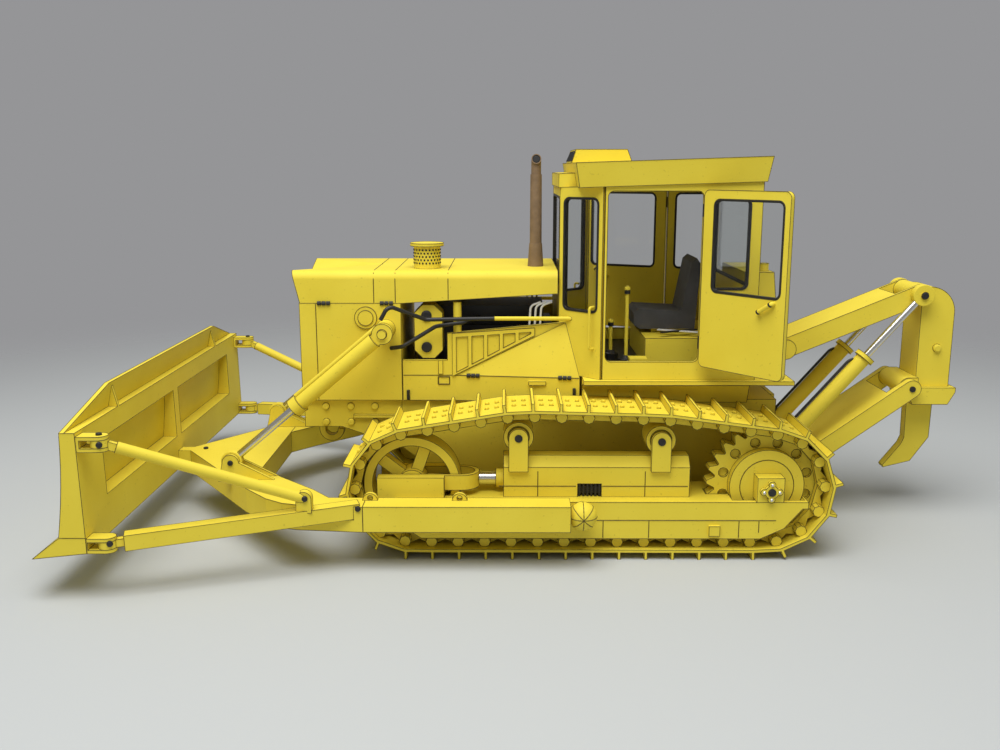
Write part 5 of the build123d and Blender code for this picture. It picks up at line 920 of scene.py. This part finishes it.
def ripper_pins():
    """Black pin ends on the ripper's frame, column and bracket, and the column's bolts."""
    frame_pins = on_sides("ripper_frame", [RIPPER_FRAME_PIN])
    caps("ripper_frame_pins", frame_pins, "black_card", "ripper_frame")
    head_pins = on_sides("ripper_column", [RIPPER_HEAD_PIN])
    caps("ripper_head_pins", head_pins, "black_card", "ripper_carriage")
    card_bolts("column_bolts", on_sides("ripper_column", [COLUMN_BOLT]), "ripper_carriage")
    caps("mount_pins", on_sides("ripper_mount", [RIPPER_FOOT]), "black_card", "tractor")


# Roof box, air intake and ripper cylinders
LOUVRE_PLACES = range(-12, 13, 2)
LOUVRE_FOOT, LOUVRE_HEAD = (-58.5, 118.3), (-57.0, 121.6)
LOUVRE_THICK = 0.8 * MM
INTAKE_ROWS, INTAKE_ROUND = 5, 24
INTAKE_FIRST, INTAKE_STEP = 1.8 * MM, 1.05 * MM
HOLE_RADIUS, HOLE_HEIGHT, HOLE_CROWN = 0.32 * MM, 0.12 * MM, 0.2
# The ripper cylinders' lean, and each hose as places along the cylinder and out from its middle line
RIPPER_LEAN = (0.6488, 0.7610)
RIPPER_HOSE = ((9, 2.0), (10.5, 3.2), (38, 3.2), (39.5, 2.4))
HOSE_THICK, HOSE_BEND = 0.9 * MM, 0.8 * MM


def roof_louvres():
    """Dark louvres on the roof box's front."""
    (x, z), (far_x, far_z) = LOUVRE_FOOT, LOUVRE_HEAD
    louvres = [[at(x, y, z), at(far_x, y, far_z)] for y in LOUVRE_PLACES]
    painted(rods("roof_box_louvres", louvres, LOUVRE_THICK, sides=8), "black_card", "tractor")


def intake_holes():
    """Rows of dark holes round the air intake's drum."""
    low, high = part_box("precleaner")
    middle = (low + high) / 2
    width = high.x - low.x
    places = []
    for row in range(INTAKE_ROWS):
        for k in range(INTAKE_ROUND):
            turn = 2 * pi * (k + row / 2) / INTAKE_ROUND
            outward = Vector((cos(turn), sin(turn), 0))
            level = low.z + INTAKE_FIRST + INTAKE_STEP * row
            sight = Vector((middle.x, middle.y, level)) + outward * width
            _, place, _, _ = frame["nodes"]["precleaner"].ray_cast(sight, -outward)
            places.append((place, outward))
    hole = stud(HOLE_RADIUS, HOLE_HEIGHT, 6, HOLE_CROWN)
    painted(copies("intake_holes", hole, places), "black_card", "tractor")


def ripper_hoses():
    """Black hoses along the ripper cylinders."""
    run, rise = RIPPER_LEAN
    along = Vector((run, 0, rise)) * MM
    aside = Vector((-rise, 0, run)) * MM
    x, z = RIPPER_FOOT
    hoses = []
    for side in SIDES:
        foot = at(x, RIPPER_EYE[1] * side, z)
        hoses.append([foot + along * far + aside * out for far, out in RIPPER_HOSE])
    painted(rods("ripper_hoses", hoses, HOSE_THICK, HOSE_BEND, sides=10), "black_card", "ripper_barrels")


# Inside the cab

# Each lever's place on the floor and the level of its knob
LEVERS = ((-40.4, -18, 76.8), (-44.4, -8, 64.8))
CAB_FLOOR = 53.5
KNOB_RADIUS, KNOB_HEIGHT, KNOB_CROWN = 0.95 * MM, 1.8 * MM, 0.35
BOOT_RADIUS, BOOT_HEIGHT, BOOT_CROWN = 2.6 * MM, 2.2 * MM, 0.5
STRAP_HALF_LENGTH, STRAP_HALF_WIDTH, STRAP_THICK, STRAP_EDGE = 7 * MM, 0.8 * MM, 0.4 * MM, 0.1 * MM
STRAPS_MIDDLE = (-23, -14.6, 64)
BLACK_STRAP_TURN, WHITE_STRAP_TURN = radians(28), radians(-24)


def lever_trim():
    """Knobs and boots of the levers."""
    up = Vector((0, 0, 1))
    knobs = [(at(x, y, z), up) for x, y, z in LEVERS]
    boots = [(at(x, y, CAB_FLOOR), up) for x, y, _ in LEVERS]
    knob = stud(KNOB_RADIUS, KNOB_HEIGHT, 14, KNOB_CROWN)
    painted(copies("lever_knobs", knob, knobs), "black_card", "tractor")
    boot = stud(BOOT_RADIUS, BOOT_HEIGHT, 16, BOOT_CROWN)
    painted(copies("lever_boots", boot, boots), "black_card", "tractor")


def seat_straps():
    """The two crossed straps on the seat box, one black and one white."""
    for name, turn, finish, slot in (
            ("seat_strap_black", BLACK_STRAP_TURN, FINISHES["black_card"], "black_card"),
            ("seat_strap_white", WHITE_STRAP_TURN, WHITE_TAPE, "yellow_card")):
        strap = bar(Vector((-STRAP_HALF_LENGTH, -STRAP_HALF_WIDTH, 0)),
                    Vector((STRAP_HALF_LENGTH, STRAP_HALF_WIDTH, STRAP_THICK)), STRAP_EDGE)
        strap.data.transform(Matrix.Translation(at(*STRAPS_MIDDLE)) @ Matrix.Rotation(turn, 4, "Z"))
        dress(joined(name, [strap]), finish, "tractor")


# Floor, light and camera
FLOOR_RADIUS = 0.62
FADE_FROM, FADE_TO = 0.20, 0.60
SKY_STRENGTH = 0.38
LAMP_SIZE, LAMP_POWER = 0.5, 4.9
LAMP_PLACE, LAMP_AIM = Vector((-0.06, -0.24, 0.60)), Vector((0, 0, 0.05))
SENSOR_WIDTH, LENS = 36.0, 36.174
CAMERA_PLACE = (-79.49, -339.13, 116.62)
CAMERA_DOWN, CAMERA_TURN = 11.699, 0.314
CLIP_START, CLIP_END = 0.01, 10.0


def studio_floor():
    """Pale paper floor that fades out into the backdrop."""
    start_fresh()
    bpy.ops.mesh.primitive_circle_add(vertices=96, radius=FLOOR_RADIUS, fill_type="NGON", location=(0, 0, 0))
    floor = bpy.context.object
    floor.name = "studio_floor"
    made, tree, place = new_material("pale_floor_paper")
    distance = add(tree, "ShaderNodeVectorMath", {"operation": "LENGTH"}, None, {0: place})
    fade = add(tree, "ShaderNodeMapRange", {"interpolation_type": "SMOOTHSTEP"},
               {"From Min": FADE_FROM, "From Max": FADE_TO}, {"Value": distance.outputs["Value"]})
    paper = add(tree, "ShaderNodeBsdfPrincipled", None, {"Roughness": 0.8, "Base Color": linear("#B6B9B8")})
    clear = add(tree, "ShaderNodeBsdfTransparent")
    mixed = add(tree, "ShaderNodeMixShader", None, None,
                {0: fade.outputs["Result"], 1: paper.outputs["BSDF"], 2: clear.outputs["BSDF"]})
    add(tree, "ShaderNodeOutputMaterial", links={"Surface": mixed.outputs["Shader"]})
    floor.data.materials.append(made)


def studio_light():
    """An even sky that shows as a plain grey backdrop, and one large soft lamp."""
    scene = bpy.context.scene
    scene.view_settings.view_transform = "Standard"
    world = bpy.data.worlds.new("studio_sky")
    scene.world = world
    world.use_nodes = True
    tree = world.node_tree
    tree.nodes.clear()
    path = add(tree, "ShaderNodeLightPath")
    seen = add(tree, "ShaderNodeMath", {"operation": "ADD"}, None,
               {0: path.outputs["Is Camera Ray"], 1: path.outputs["Is Glossy Ray"]})
    seen = add(tree, "ShaderNodeMath", {"operation": "ADD", "use_clamp": True}, None,
               {0: seen.outputs["Value"], 1: path.outputs["Is Transmission Ray"]})
    light = add(tree, "ShaderNodeBackground", None, {"Strength": SKY_STRENGTH, "Color": linear("#F2F2F4")})
    wall = add(tree, "ShaderNodeBackground", None, {"Strength": 1.0, "Color": linear("#959597")})
    mixed = add(tree, "ShaderNodeMixShader", None, None,
                {0: seen.outputs["Value"], 1: light.outputs["Background"], 2: wall.outputs["Background"]})
    add(tree, "ShaderNodeOutputWorld", links={"Surface": mixed.outputs["Shader"]})

    lamp_data = bpy.data.lights.new("softbox", "AREA")
    lamp_data.size = LAMP_SIZE
    lamp_data.energy = LAMP_POWER
    lamp = bpy.data.objects.new("softbox", lamp_data)
    lamp.location = LAMP_PLACE
    lamp.rotation_euler = (LAMP_AIM - LAMP_PLACE).to_track_quat("-Z", "Y").to_euler()
    scene.collection.objects.link(lamp)


def photo_camera():
    """The photograph's own viewpoint."""
    data = bpy.data.cameras.new("photo_camera")
    data.sensor_width = SENSOR_WIDTH
    data.lens = LENS
    data.clip_start = CLIP_START
    data.clip_end = CLIP_END
    camera = bpy.data.objects.new("photo_camera", data)
    camera.location = at(*CAMERA_PLACE)
    camera.rotation_euler = (radians(90 - CAMERA_DOWN), 0, radians(CAMERA_TURN))
    bpy.context.scene.collection.objects.link(camera)
    bpy.context.scene.camera = camera


window_seals()
card_edges()
body_seams()
push_frame_seams()
panel_hinges()
door_hinges()
door_handles()
rod_eyes()
panel_fittings()
engine_wires()
exhaust_stack()
shoe_bolts()
tractor_bolts_and_hub_shade()
push_frame_pins()
ripper_pins()
roof_louvres()
intake_holes()
ripper_hoses()
lever_trim()
seat_straps()
studio_floor()
studio_light()
photo_camera()
